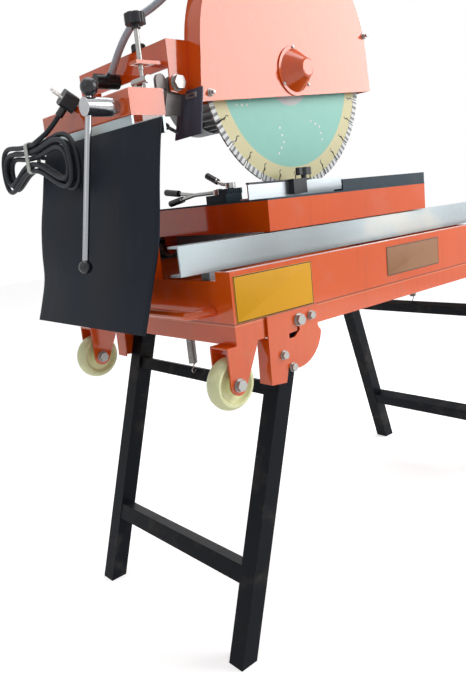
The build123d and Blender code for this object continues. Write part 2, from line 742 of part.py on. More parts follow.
with BuildPart() as fence_stop:
    with BuildSketch(end(FENCE_X[0])):
        with Locations((FENCE_Y, DECK + 26.5)):
            Rectangle(7, 3)
    extrude(amount=152)
    with BuildSketch(level(DECK + 3)):
        with Locations((261, FENCE_Y - 7.5)):
            Rectangle(34, 12)
    extrude(amount=25)
save(fence_stop, "fence_stop")

KNOB_AT = (286.0, FENCE_Y)
with BuildPart() as fence_knob:
    with BuildSketch(level(DECK + 28)):
        with Locations(KNOB_AT):
            Circle(5)
    extrude(amount=7)
    with BuildSketch(level(DECK + 34)):
        with Locations(KNOB_AT):
            Circle(8)
            with PolarLocations(11, 2):
                SlotOverall(15, 9)
    extrude(amount=13)
save(fence_knob, "fence_knob")

# Work clamp on the deck: a block with a forked lever and a short lever
BLOCK_X = (140.0, 180.0)
BLOCK_Y = (150.0, 204.0)
LEVER_AT = (160.0, 188.0)
SHORT_AT = (168.0, 166.0)
with BuildPart() as clamp_block:
    with BuildSketch(level(DECK)):
        with Locations(((BLOCK_X[0] + BLOCK_X[1]) / 2, (BLOCK_Y[0] + BLOCK_Y[1]) / 2)):
            RectangleRounded(BLOCK_X[1] - BLOCK_X[0], BLOCK_Y[1] - BLOCK_Y[0], 3)
    extrude(amount=14)
    with BuildSketch(level(DECK + 14)):
        with Locations((163, 162)):
            Rectangle(34, 24)
        with Locations((149, 150), (154, 150), (159, 150), (164, 150), (169, 150), (174, 150)):
            Rectangle(2, 5, mode=Mode.SUBTRACT)
    extrude(amount=9)
    with BuildSketch(level(DECK + 14)):
        with Locations(LEVER_AT):
            Circle(5)
    extrude(amount=10.5)
    with BuildSketch(level(DECK + 23)):
        with Locations(SHORT_AT):
            Circle(5)
    extrude(amount=9)
save(clamp_block, "clamp_block")


def grip_rod(start, bend, tip, rod_r, grip_r, grip_length):
    """A rod from start through bend to tip, with a thicker grip on its tip."""
    outward = (tip - bend).normalized()
    with BuildPart() as rod:
        for a, b in ((start, bend), (bend, tip)):
            with BuildSketch(Plane(a, z_dir=b - a)):
                Circle(rod_r)
            extrude(amount=(b - a).length)
        with Locations(bend):
            Sphere(rod_r)
        with BuildSketch(Plane(tip - outward * grip_length, z_dir=outward)):
            Circle(grip_r)
        extrude(amount=grip_length)
    return rod.part


fork = at(LEVER_AT[0], 258, DECK + 19)
upper_prong = grip_rod(at(*LEVER_AT, DECK + 19), fork, at(LEVER_AT[0], 344, DECK + 30), 3.5, 6, 40)
lower_prong = grip_rod(at(*LEVER_AT, DECK + 19), fork, at(LEVER_AT[0], 334, DECK + 8), 3.5, 6, 40)
short_bend = at(SHORT_AT[0], SHORT_AT[1] + 22, DECK + 32)
short_rod = grip_rod(at(*SHORT_AT, DECK + 29), short_bend, at(SHORT_AT[0], 226, DECK + 50), 3, 5.5, 30)
with BuildPart() as clamp_lever:
    with BuildSketch(level(DECK + 14.4)):
        with Locations(LEVER_AT):
            Circle(11)
    extrude(amount=9)
    add(upper_prong)
    add(lower_prong)
    with BuildSketch(level(DECK + 12)):
        with Locations(LEVER_AT):
            Circle(5 + RUNNING)
    extrude(amount=16, mode=Mode.SUBTRACT)
save(clamp_lever, "clamp_lever")

with BuildPart() as short_lever:
    with BuildSketch(level(DECK + 24)):
        with Locations(SHORT_AT):
            Circle(9)
    extrude(amount=9)
    add(short_rod)
    with BuildSketch(level(DECK + 22)):
        with Locations(SHORT_AT):
            Circle(5 + RUNNING)
    extrude(amount=16, mode=Mode.SUBTRACT)
save(short_lever, "short_lever")

# Roller brackets under the deck, and two roller axles that run in the rails
ROLLER_PLATE_Y = 76.0
with BuildPart() as roller_brackets:
    for x in ROLLER_X:
        with BuildSketch(side(ROLLER_PLATE_Y + 4)):
            with Locations((x, ROLLER_Z)):
                Circle(11)
            with Locations((x, CART_Z[1] - SHEET - 1)):
                Rectangle(44, 2)
            make_hull()
            with Locations((x, ROLLER_Z)):
                Circle(6 + RUNNING, mode=Mode.SUBTRACT)
        extrude(amount=4)
    mirror(about=Plane.XZ)
save(roller_brackets, "roller_brackets")

for x, name in zip(ROLLER_X, ("roller_axle_rear", "roller_axle_front")):
    with BuildPart() as roller_axle:
        with BuildSketch(side(TRAY_W - RAIL_Y - 7)):
            with Locations((x, ROLLER_Z)):
                Circle(6)
        extrude(amount=TRAY_W - 2 * RAIL_Y - 14)
        for y in (RAIL_Y + 23, TRAY_W - RAIL_Y - 7):
            with BuildSketch(side(y)):
                with Locations((x, ROLLER_Z)):
                    Circle(ROLLER_R)
            extrude(amount=16)
    save(roller_axle, name)


def tube(points, radius, name):
    """A round tube along straight runs joined by tangent arcs, through points of the part's frame."""
    radii = []
    for before, corner, after in zip(points, points[1:], points[2:]):
        turn = radians((corner - before).get_angle(after - corner))
        shorter = min((corner - before).length, (after - corner).length)
        radii.append(round(0.45 * shorter / tan(turn / 2), 1))
    print(name, "bend radii", radii)
    with BuildPart() as piece:
        with BuildLine() as run:
            FilletPolyline(*points, radius=radii)
        with BuildSketch(Plane(run.line @ 0, z_dir=run.line % 0)):
            Circle(radius)
        sweep()
    length = sum(edge.length for edge in run.edges())
    ratio = piece.part.volume / (pi * radius * radius * length)
    print(name, "length", round(length, 1), "volume ratio", round(ratio, 4))
    return piece


def wound_tube(points, tangents, radius, name):
    """A round tube through points with given directions, on two tangent arcs for each step."""
    arcs = []
    for p0, p1, t0, t1 in zip(points, points[1:], tangents, tangents[1:]):
        both = t0 + t1
        reach = p1 - p0
        a = 4 - both.dot(both)
        b = 2 * reach.dot(both)
        c = -reach.dot(reach)
        d = -c / b if abs(a) < 1e-9 else (-b + sqrt(b * b - 4 * a * c)) / (2 * a)
        q0 = p0 + t0 * d
        q1 = p1 - t1 * d
        joint = (q0 + q1) * 0.5
        arcs.append((p0, joint, t0))
        arcs.append((joint, p1, (q1 - q0).normalized()))
    with BuildPart() as piece:
        with BuildLine() as run:
            for start, stop, direction in arcs:
                TangentArc(start, stop, tangent=direction)
        with BuildSketch(Plane(points[0], z_dir=tangents[0])):
            Circle(radius)
        sweep()
    length = sum(edge.length for edge in run.edges())
    ratio = piece.part.volume / (pi * radius * radius * length)
    print(name, "length", round(length, 1), "volume ratio", round(ratio, 4))
    return piece


# Leg springs: a coil with a straight hook leg at each end, behind each upper cross tube
SPRING_AT = (84.0, 222.0)
SPRING_Z = (-182.0, -118.0)
SPRING_R = 6.2
WIRE_R = 1.2
SPRING_TURNS = 19
spring_points = []
spring_tangents = []
coil_pitch = (SPRING_Z[1] - SPRING_Z[0]) / SPRING_TURNS
for step in range(2 * SPRING_TURNS + 1):
    angle = pi * step
    z = SPRING_Z[0] + coil_pitch * step / 2
    spring_points.append(at(SPRING_AT[0] + SPRING_R * cos(angle), SPRING_AT[1] + SPRING_R * sin(angle), z))
    rise = coil_pitch / (2 * pi * SPRING_R)
    spring_tangents.append(Vector(-sin(angle), cos(angle), rise).normalized())
coil = wound_tube(spring_points, spring_tangents, WIRE_R, "spring")
print("spring gap", round(coil_pitch - 2 * WIRE_R, 2))
hooks = []
for z, z_tip in ((SPRING_Z[0] - 0.5, SPRING_Z[0] - 14), (SPRING_Z[1] - 0.5, -78.6)):
    with BuildPart() as hook:
        with BuildSketch(level(min(z, z_tip))):
            with Locations(SPRING_AT):
                Circle(WIRE_R)
        extrude(amount=abs(z_tip - z))
        with BuildSketch(level(z)):
            with Locations(SPRING_AT):
                Circle(SPRING_R)
        extrude(amount=1)
    hooks.append(hook.part)
with BuildPart() as springs:
    add(coil.part)
    add(hooks)
    mirror(about=Plane.YZ.offset(MID_X))
save(springs, "springs")

# Water valve on the arm's web, its knob, the hose and the nozzle on the guard's rim
VALVE_AT = (36.0, 299.0, 316.0)
HOSE_R = 6.0
hose_dir = Vector(0, -54, 57).normalized()
with BuildPart() as valve_body:
    with BuildSketch(end(ARM_X)):
        with Locations(VALVE_AT[1:]):
            Circle(12)
    extrude(amount=-28)
    with BuildSketch(Plane(at(*VALVE_AT), z_dir=hose_dir)):
        Circle(HOSE_R + 1.5)
    extrude(amount=16)
    with BuildSketch(end(24)):
        with Locations(VALVE_AT[1:]):
            Circle(4)
    extrude(amount=-8)
save(valve_body, "valve_body")

with BuildPart() as valve_knob:
    with BuildSketch(end(23.6)):
        with Locations(VALVE_AT[1:]):
            Circle(12)
            with PolarLocations(13, 6):
                Circle(3, mode=Mode.SUBTRACT)
    extrude(amount=-16)
    with BuildSketch(end(24)):
        with Locations(VALVE_AT[1:]):
            Circle(4 + RUNNING)
    extrude(amount=-8.4, mode=Mode.SUBTRACT)
save(valve_knob, "valve_knob")

NOZZLE_ANGLE = 140.0
nozzle_dir = Vector(cos(radians(NOZZLE_ANGLE)), 0, sin(radians(NOZZLE_ANGLE)))
rim_centre = at(GUARD_CENTRE[0], BLADE_Y, GUARD_CENTRE[1])
spigot_dir = Vector(-0.41, 0.665, -0.62).normalized()
with BuildPart() as water_nozzle:
    with BuildSketch(Plane(rim_centre + nozzle_dir * (GUARD_R + 0.1), z_dir=nozzle_dir)):
        RegularPolygon(11, 6)
    extrude(amount=9)
    elbow = rim_centre + nozzle_dir * (GUARD_R + 17)
    with BuildSketch(Plane(rim_centre + nozzle_dir * (GUARD_R + 9), z_dir=nozzle_dir)):
        Circle(HOSE_R + 1)
    extrude(amount=8)
    with Locations(elbow):
        Sphere(HOSE_R + 1)
    with BuildSketch(Plane(elbow, z_dir=spigot_dir)):
        Circle(HOSE_R + 1)
    extrude(amount=20)
save(water_nozzle, "water_nozzle")

hose_end = elbow + spigot_dir * 20.4
hose_start = at(*VALVE_AT) + hose_dir * 16.4
water_hose = tube(
    [hose_start, hose_start + hose_dir * 84, hose_end + spigot_dir * 68, hose_end],
    HOSE_R, "water_hose",
)
save(water_hose, "water_hose")

# Round black cap on the arm
with BuildPart() as arm_cap:
    with BuildSketch(level(ARM_TOP)):
        with Locations((61, 238)):
            Circle(12)
    extrude(amount=12)
    fillet(arm_cap.faces().sort_by(Axis.Z)[-1].edges(), 4)
save(arm_cap, "arm_cap")

# Switch box on the beam's front, with two sprung buttons
BOX_Y = (288.0, 350.0)
BOX_X = (BEAM_X[1], BEAM_X[1] + 38)
BOX_Z = (222.0, 279.0)
BUTTON_Z = 250.0
BUTTON_Y = (305.0, 333.0)
BUTTON_R = 9.0
with BuildPart() as switch_box:
    with BuildSketch(end(BOX_X[0])):
        with Locations((sum(BOX_Y) / 2, sum(BOX_Z) / 2)):
            RectangleRounded(BOX_Y[1] - BOX_Y[0], BOX_Z[1] - BOX_Z[0], 5)
    extrude(amount=BOX_X[1] - BOX_X[0])
    with BuildSketch(end(BOX_X[1])):
        with Locations((BUTTON_Y[0], BUTTON_Z), (BUTTON_Y[1], BUTTON_Z)):
            Circle(BUTTON_R + 0.5)
    extrude(amount=-9, mode=Mode.SUBTRACT)
save(switch_box, "switch_box")

for y, name in zip(BUTTON_Y, ("start_button", "stop_button")):
    with BuildPart() as button:
        with BuildSketch(end(BOX_X[1] - 5)):
            with Locations((y, BUTTON_Z)):
                Circle(BUTTON_R)
        extrude(amount=10)
        fillet(button.faces().sort_by(Axis.X)[-1].edges(), 1.5)
    save(button, name)

# Mains cord: a lead from the box over the beam, a tied hank on the curtain and a tail to the plug
HANK_AT = (415.0, 205.0)
HANK_X = (-64.0, -74.2)
HANK_TURNS = 4
LOBES = (152.0, 122.0)
LOBE_H = (88.0, 72.0)
CORD_STEP = 9.6
WAIST_STEP = 10.4


def hank_point(t):
    """A point of the hank after t turns: an oblong loop drawn in at its waist."""
    half = HANK_TURNS / 2
    inset = t if t < half else HANK_TURNS - t
    blend = min(1, max(0, (t - half + 0.25) / 0.5))
    blend = blend * blend * (3 - 2 * blend)
    across = -sin(2 * pi * t)
    up = cos(2 * pi * t)
    left = (1 + across) / 2
    left = left * left * (3 - 2 * left)
    reach = LOBES[0] + (LOBES[1] - LOBES[0]) * left - CORD_STEP * inset
    lobe = LOBE_H[0] + (LOBE_H[1] - LOBE_H[0]) * left - 1.5 * CORD_STEP * inset
    waist = WAIST_STEP * (half - inset + 0.15)
    y = reach * across
    z = up * (waist + lobe * across * across) - 0.19 * (hypot(y, 30) - 30)
    x = HANK_X[0] + (HANK_X[1] - HANK_X[0]) * blend
    return at(x, HANK_AT[0] + y, HANK_AT[1] + z)


def hank_direction(t):
    return (hank_point(t + 1e-4) - hank_point(t - 1e-4)).normalized()


HANK_STEPS = 16 * HANK_TURNS
hank_ts = [HANK_TURNS * step / HANK_STEPS for step in range(HANK_STEPS + 1)]
hank_points = [hank_point(t) for t in hank_ts]
cord_hank = wound_tube(hank_points, [hank_direction(t) for t in hank_ts], CORD_R, "cord_hank")
fine = [hank_point(HANK_TURNS * step / 960) for step in range(961)]
closest = min(
    (a - b).length
    for i, a in enumerate(fine[::2]) for j, b in enumerate(fine[::2])
    if j - i > 24
)
print("hank gap", round(closest - 2 * CORD_R, 2))
save(cord_hank, "cord_hank")

GLAND_AT = (58.0, BOX_Y[1], 233.0)
with BuildPart() as cord_gland:
    with BuildSketch(side(GLAND_AT[1])):
        with Locations((GLAND_AT[0], GLAND_AT[2])):
            RegularPolygon(9.5, 6)
    extrude(amount=-8)
    with BuildSketch(side(GLAND_AT[1] + 8)):
        with Locations((GLAND_AT[0], GLAND_AT[2])):
            Circle(7)
    extrude(amount=-8)
save(cord_gland, "cord_gland")

lead_end = hank_points[0] - hank_direction(0) * 0.4
cord_lead = tube(
    [
        at(GLAND_AT[0], GLAND_AT[1] + 16.4, GLAND_AT[2]),
        at(GLAND_AT[0], GLAND_AT[1] + 42, GLAND_AT[2]),
        at(44, 440, 204),
        at(-14, 490, 212),
        lead_end - hank_direction(0) * 42,
        lead_end,
    ],
    CORD_R, "cord_lead",
)
save(cord_lead, "cord_lead")

# Plug leaning on the beam's rear edge, its pins up and back and its cord down to the hank
PLUG_AT = (-37.0, 318.0, 286.7)
PLUG_SIZE = (26.0, 28.0, 20.0)
PIN_R = 2.4
PIN_L = 19.0
pin_dir = Vector(-0.85, 0, 0.53).normalized()
plug_exit = Vector(-0.45, 0.526, -0.722).normalized()
pin_row = pin_dir.cross(plug_exit).normalized()
plug_middle = at(*PLUG_AT)
with BuildPart() as plug:
    with BuildSketch(Plane(plug_middle - pin_dir * PLUG_SIZE[0] / 2, x_dir=pin_row, z_dir=pin_dir)):
        RectangleRounded(PLUG_SIZE[2], PLUG_SIZE[1], 6)
    extrude(amount=PLUG_SIZE[0])
    with BuildSketch(Plane(plug_middle + pin_dir * PLUG_SIZE[0] / 2, x_dir=pin_row, z_dir=pin_dir)):
        with Locations((-6.5, 0), (6.5, 0)):
            Circle(PIN_R)
    extrude(amount=PIN_L)
    with BuildSketch(Plane(plug_middle + plug_exit * 10, z_dir=plug_exit)):
        Circle(6.5)
    extrude(amount=19)
save(plug, "plug")

tail_start = hank_points[-1] + hank_direction(HANK_TURNS) * 0.4
tail_end = plug_middle + plug_exit * 29.4
cord_tail = tube(
    [tail_start, tail_start + hank_direction(HANK_TURNS) * 12.5, at(-79, 374, 236), tail_end + plug_exit * 30, tail_end],
    CORD_R, "cord_tail",
)
save(cord_tail, "cord_tail")

# Tie band round the hank's waist
TIE = (19.8, 49.4)
with BuildPart() as cord_tie:
    with BuildSketch(side(HANK_AT[0] + 6)):
        with Locations((sum(HANK_X) / 2, HANK_AT[1] + 2.6)):
            RectangleRounded(TIE[0] + 3.2, TIE[1] + 3.2, 6)
            RectangleRounded(TIE[0], TIE[1], 4.4, mode=Mode.SUBTRACT)
    extrude(amount=12)
save(cord_tie, "cord_tie")
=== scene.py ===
"""Looks for the masonry table saw: paint, rubber, metal, the cords and the small fittings."""

import math

import bpy
from mathutils import Matrix, Vector


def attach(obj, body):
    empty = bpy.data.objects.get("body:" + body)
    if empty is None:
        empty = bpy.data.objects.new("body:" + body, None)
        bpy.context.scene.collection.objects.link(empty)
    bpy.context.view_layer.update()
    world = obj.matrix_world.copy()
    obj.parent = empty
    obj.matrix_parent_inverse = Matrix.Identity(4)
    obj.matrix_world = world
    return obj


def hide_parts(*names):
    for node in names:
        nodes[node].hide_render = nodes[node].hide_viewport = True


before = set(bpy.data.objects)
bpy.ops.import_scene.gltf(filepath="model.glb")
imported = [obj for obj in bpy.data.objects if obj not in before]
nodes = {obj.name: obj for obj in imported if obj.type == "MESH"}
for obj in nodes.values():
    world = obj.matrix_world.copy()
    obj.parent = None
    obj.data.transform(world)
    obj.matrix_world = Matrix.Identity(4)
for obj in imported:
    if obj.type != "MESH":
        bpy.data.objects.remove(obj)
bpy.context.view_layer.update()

# Places are measured in millimetres from the tray's near rear top corner:
# x forward, y to the far side, z up. This is that corner in the part's frame, in metres.
TRAY_CORNER = Vector((-0.4049, -0.220, 0.636))
TRAY_LENGTH = 886
MM = 0.001


def at(x, y, z):
    """A place in the part's frame, given in millimetres from the tray's corner."""
    return TRAY_CORNER + Vector((x, y, z)) * MM


def part_way(first, second, share):
    """The value at this share of the way from first to second."""
    return first + (second - first) * share


def eased(share):
    """A share from 0 to 1 that starts and stops gently."""
    return share * share * (3 - 2 * share)


def new_object(name, data):
    """An object with this data, put into the scene."""
    made = bpy.data.objects.new(name, data)
    bpy.context.scene.collection.objects.link(made)
    return made


# Camera at the photograph's viewpoint
VIEW_FROM = (-601.8, -692.2, 97.4)
VIEW_RIGHT = Vector((0.7395, -0.6654, -0.1016))
VIEW_DOWN = Vector((-0.2241, -0.1011, -0.9693))
VIEW_AHEAD = Vector((0.6347, 0.7396, -0.2239))
FOCAL_LENGTH = 32.98
FILM_WIDTH = 36

camera = new_object("camera", bpy.data.cameras.new("camera"))
camera.data.lens = FOCAL_LENGTH
camera.data.sensor_width = FILM_WIDTH
turn = Matrix((VIEW_RIGHT, -VIEW_DOWN, -VIEW_AHEAD)).transposed()
camera.matrix_world = Matrix.Translation(at(*VIEW_FROM)) @ turn.to_4x4()
bpy.context.scene.camera = camera
bpy.context.scene.view_settings.view_transform = "Standard"


class Reading:
    """A number from a shader's nodes, for use in plain arithmetic."""

    def __init__(self, wiring, socket):
        self.wiring = wiring
        self.socket = socket

    def _math(self, operation, *values):
        return self.wiring.node("ShaderNodeMath", {"operation": operation}, *values)

    def __add__(self, other):
        return self._math("ADD", self, other)

    def __sub__(self, other):
        return self._math("SUBTRACT", self, other)

    def __rsub__(self, other):
        return self._math("SUBTRACT", other, self)

    def __mul__(self, other):
        return self._math("MULTIPLY", self, other)

    def __pow__(self, other):
        return self._math("POWER", self, other)

    def __gt__(self, other):
        return self._math("GREATER_THAN", self, other)

    def __lt__(self, other):
        return self._math("LESS_THAN", self, other)

    __radd__ = __add__
    __rmul__ = __mul__

    def sine(self):
        return self._math("SINE", self)

    def root(self):
        return self._math("SQRT", self)

    def fraction(self):
        return self._math("FRACT", self)

    def size(self):
        return self._math("ABSOLUTE", self)

    def least(self, other):
        return self._math("MINIMUM", self, other)

    def angle_from(self, other):
        return self._math("ARCTAN2", self, other)

    def step(self, low, high):
        """0 below low, 1 above high and a smooth rise between."""
        settings = {"interpolation_type": "SMOOTHSTEP", "clamp": True}
        return self.wiring.node("ShaderNodeMapRange", settings, self, low, high)


class Wiring:
    """A tree of shader nodes, made and linked one by one."""

    def __init__(self, tree):
        self.tree = tree

    def node(self, kind, settings, *values, output=0, **named):
        """A node with these settings, its open sockets fed in order and others by name."""
        made = self.tree.nodes.new(kind)
        for name, value in settings.items():
            setattr(made, name, value)
        for socket, value in zip([s for s in made.inputs if s.enabled], values):
            self.feed(socket, value)
        for name, value in named.items():
            self.feed(made.inputs[name], value)
        return Reading(self, made.outputs[output])

    def feed(self, socket, value):
        """Links a reading to a socket, or sets a number, vector or colour there."""
        if isinstance(value, Reading):
            self.tree.links.new(value.socket, socket)
        else:
            socket.default_value = (*value, 1) if socket.type == "RGBA" else value

    def seen(self):
        """1 where the camera looks, straight or by gloss or glass, and 0 for light on the saw."""
        kinds = ("Is Camera Ray", "Is Glossy Ray", "Is Transmission Ray")
        straight, gloss, glass = (
            self.node("ShaderNodeLightPath", {}, output=kind) for kind in kinds
        )
        return (straight + gloss + glass).least(1.0)


class Finish(Wiring):
    """One surface finish on a Principled shader."""

    # Which of a Mix node's results is its colour
    MIXED_COLOUR = 2
    EDGE_SAMPLES = 4

    def __init__(self, name):
        self.material = bpy.data.materials.new(name)
        self.material.use_nodes = True
        super().__init__(self.material.node_tree)
        self.shader = self.tree.nodes["Principled BSDF"]
        self.here = self.node("ShaderNodeTexCoord", {}, output="Object")

    def set(self, **sockets):
        """Feeds the shader's own sockets, named with _ for each space."""
        for name, value in sockets.items():
            self.feed(self.shader.inputs[name.replace("_", " ")], value)
        return self

    def noise(self, size, detail, stretch=(1, 1, 1)):
        """Soft noise from 0 to 1 with features of about this size in metres."""
        scaled = self.node("ShaderNodeMapping", {}, self.here, Scale=stretch)
        return self.node("ShaderNodeTexNoise", {}, scaled, Scale=1 / size, Detail=detail)

    def cells(self, size):
        """Flat grey patches of random shade, each about this size in metres."""
        shade = self.node("ShaderNodeTexVoronoi", {}, self.here, Scale=1 / size, output="Color")
        return self.node("ShaderNodeSeparateColor", {}, shade)

    def axes(self, centre):
        """The surface point's x, y and z from this centre, in metres."""
        settings = {"operation": "SUBTRACT"}
        moved = self.node("ShaderNodeVectorMath", settings, self.here, tuple(centre))
        split = self.node("ShaderNodeSeparateXYZ", {}, moved)
        return [Reading(self, socket) for socket in split.socket.node.outputs]

    def blend(self, amount, first, second):
        """The colour first where amount is 0, and second where it is 1."""
        settings = {"data_type": "RGBA"}
        return self.node(
            "ShaderNodeMix", settings, amount, first, second, output=self.MIXED_COLOUR,
        )

    def relief(self, height, depth, strength, edge=0.0):
        """Bumps this deep in metres, over edges that look rounded by edge metres."""
        sockets = {"Height": height, "Distance": depth, "Strength": strength}
        if edge:
            sockets["Normal"] = self.node("ShaderNodeBevel", {"samples": self.EDGE_SAMPLES}, edge)
        return self.set(Normal=self.node("ShaderNodeBump", {}, **sockets))


def toned(colour, share):
    """A colour made darker or, above 1, lighter."""
    return tuple(share * c for c in colour)


# How far each finish's edges look rounded, in metres
PAINT_EDGE = 0.0012
METAL_EDGE = 0.0006
SOFT_EDGE = 0.0008
BLADE_EDGE = 0.0004

DUST = (0.62, 0.55, 0.48)
# Painted light at a fold: a band of painted highlight just below a line of painted shade
FOLD_GLINT = (0.95, 0.42, 0.22)
FOLD_HALF_WIDTH = 0.0011
GLINT_HALF_WIDTH = 0.0012
GLINT_BELOW_FOLD = 0.0028


def gloss_paint(name, colour, shade, roughness, gloss=0.5, lacquer=0.0, fold=None):
    """Sprayed paint with an orange-peel skin, thin runs, dusty patches and maybe a fold line, drawn
    as a line of painted shade with a band of painted highlight below it.
    """
    paint = Finish(name)
    clouds = paint.noise(0.30, 2.0)
    runs = paint.noise(0.016, 3.0, (1, 1, 0.06)).step(0.54, 0.72)
    dust = paint.noise(0.05, 5.0).step(0.5, 0.72)
    tone = paint.blend(clouds.step(0.36, 0.62), shade, colour)
    tone = paint.blend(0.10 * runs, tone, toned(shade, 0.5))
    tone = paint.blend(0.05 * dust, tone, DUST)
    if fold is not None:
        height = paint.axes(fold)[2]
        # The fold is painted in: a thin line of painted shade on it and a band of painted highlight
        # below
        crease_shade = height.size() < FOLD_HALF_WIDTH
        glint = (height + GLINT_BELOW_FOLD).size() < GLINT_HALF_WIDTH
        tone = paint.blend(0.75 * crease_shade, tone, toned(shade, 0.2))
        tone = paint.blend(0.3 * glint, tone, FOLD_GLINT)
    paint.set(Base_Color=tone, Roughness=roughness + 0.06 * clouds + 0.14 * dust)
    paint.set(Specular_IOR_Level=gloss, Coat_Weight=lacquer, Coat_Roughness=0.07, Coat_IOR=1.6)
    peel = paint.noise(0.004, 2.0) + 0.5 * runs
    return paint.relief(peel, 0.0002, 0.3, PAINT_EDGE)


def bare_metal(name, colour, roughness, streak=(1, 1, 1)):
    """Plated or drawn metal with fine streaks and a few duller patches."""
    metal = Finish(name)
    lines = metal.noise(0.004, 4.0, streak)
    patches = metal.noise(0.05, 3.0)
    tone = metal.blend(0.7 * lines + 0.3 * patches, colour, toned(colour, 0.6))
    metal.set(Base_Color=tone, Metallic=0.95, Roughness=roughness + 0.16 * lines * patches)
    return metal.relief(lines, 0.0001, 0.3, METAL_EDGE)


# The rails' colour is darkest here, and lighter to both sides
RAIL_DARKEST_AT = at(190, 0, 0)


def galvanised_sheet(name):
    """Rolled zinc sheet: faint crystals, soft clouds, a darker middle run and a few tan stains."""
    zinc = Finish(name)
    crystals = zinc.cells(0.005)
    clouds = zinc.noise(0.22, 2.0, (0.6, 1, 1)).step(0.36, 0.62)
    darker_middle_run = 1 - zinc.axes(RAIL_DARKEST_AT)[0].size().step(0.03, 0.26)
    stains = zinc.noise(0.10, 3.0, (0.7, 1, 1)).step(0.5, 0.7)
    tone = zinc.blend(crystals, (0.45, 0.525, 0.55), (0.47, 0.545, 0.57))
    tone = zinc.blend(0.2 * clouds + 0.7 * darker_middle_run, tone, (0.20, 0.22, 0.225))
    tone = zinc.blend(0.45 * stains, tone, (0.60, 0.55, 0.46))
    zinc.set(Base_Color=tone, Metallic=0.8, Roughness=0.36 + 0.02 * crystals + 0.06 * stains)
    rolled = zinc.noise(0.002, 2.0, (0.03, 1, 1))
    return zinc.relief(rolled, 0.0001, 0.1, SOFT_EDGE)


def rubber_skin(name, colour, worn, roughness, grain=0.0015, gloss=0.3):
    """Rubber with a fine grain, greyed where it is rubbed."""
    rubber = Finish(name)
    rubbed = rubber.noise(0.11, 4.0, (1, 1, 0.5)).step(0.38, 0.64)
    fine = rubber.noise(grain, 2.0)
    marks = rubber.noise(0.03, 5.0, (1, 1, 0.2)).step(0.55, 0.7)
    tone = rubber.blend(rubbed, colour, worn)
    tone = rubber.blend(0.2 * marks, tone, toned(worn, 2.2))
    rubber.set(Base_Color=tone, Roughness=roughness + 0.12 * fine + 0.08 * rubbed)
    rubber.set(Specular_IOR_Level=gloss)
    return rubber.relief(fine, 0.0002, 0.4, SOFT_EDGE)


def moulded_plastic(name, colour, roughness=0.34, gloss=0.4):
    """Moulded plastic with a slight texture and a few scuffs."""
    plastic = Finish(name)
    fine = plastic.noise(0.0012, 2.0)
    scuffs = plastic.noise(0.02, 4.0, (1, 1, 0.3)).step(0.5, 0.7)
    pale = tuple(min(1, 1.15 * c + 0.015) for c in colour)
    plastic.set(Base_Color=plastic.blend(scuffs, colour, pale))
    plastic.set(Roughness=roughness + 0.12 * scuffs + 0.06 * fine, Specular_IOR_Level=gloss)
    return plastic.relief(fine, 0.0001, 0.4, SOFT_EDGE)


ORANGE = (0.80, 0.104, 0.003)
ORANGE_SHADE = (0.74, 0.089, 0.002)
# The tray's fold line, where its paint has a painted shade line and a painted highlight band
TRAY_FOLD = at(0, 0, -78)

orange_paint = gloss_paint("orange_paint", ORANGE, ORANGE_SHADE, 0.3, 0.06, 0.85)
tray_paint = gloss_paint("tray_paint", ORANGE, ORANGE_SHADE, 0.3, 0.06, 0.85, TRAY_FOLD)
slate_paint = gloss_paint("slate_paint", (0.021, 0.045, 0.062), (0.016, 0.034, 0.048), 0.42, 0.2)
black_paint = gloss_paint(
    "black_paint", (0.0035, 0.0055, 0.0095), (0.0025, 0.004, 0.007), 0.4, 0.09,
)
motor_paint = gloss_paint("motor_paint", (0.30, 0.32, 0.34), (0.24, 0.26, 0.28), 0.42)
galvanised = galvanised_sheet("galvanised")
zinc_plate = bare_metal("zinc_plate", (0.45, 0.445, 0.43), 0.34)
dull_steel = bare_metal("dull_steel", (0.22, 0.205, 0.20), 0.46)
bright_steel = bare_metal("bright_steel", (0.52, 0.57, 0.60), 0.32, (0.04, 1, 1))
chrome = bare_metal("chrome", (0.56, 0.57, 0.59), 0.14)
curtain_rubber = rubber_skin(
    "curtain_rubber", (0.0085, 0.0115, 0.0185), (0.0125, 0.0175, 0.027), 0.5, gloss=0.15,
)
black_rubber = rubber_skin("black_rubber", (0.010, 0.012, 0.017), (0.020, 0.024, 0.033), 0.45)
flap_rubber = rubber_skin("flap_rubber", (0.060, 0.066, 0.098), (0.085, 0.092, 0.13), 0.45)
mat_rubber = rubber_skin(
    "mat_rubber", (0.034, 0.064, 0.082), (0.055, 0.090, 0.110), 0.6, 0.003, 0.2,
)
black_plastic = moulded_plastic("black_plastic", (0.011, 0.012, 0.016))
green_plastic = moulded_plastic("green_plastic", (0.02, 0.27, 0.07))
red_plastic = moulded_plastic("red_plastic", (0.55, 0.025, 0.02))
nylon = moulded_plastic("nylon", (0.82, 0.84, 0.48), 0.26, 0.5)
tie_plastic = moulded_plastic("tie_plastic", (0.62, 0.64, 0.60), 0.36)
hose_plastic = moulded_plastic("hose_plastic", (0.42, 0.47, 0.53), 0.25)

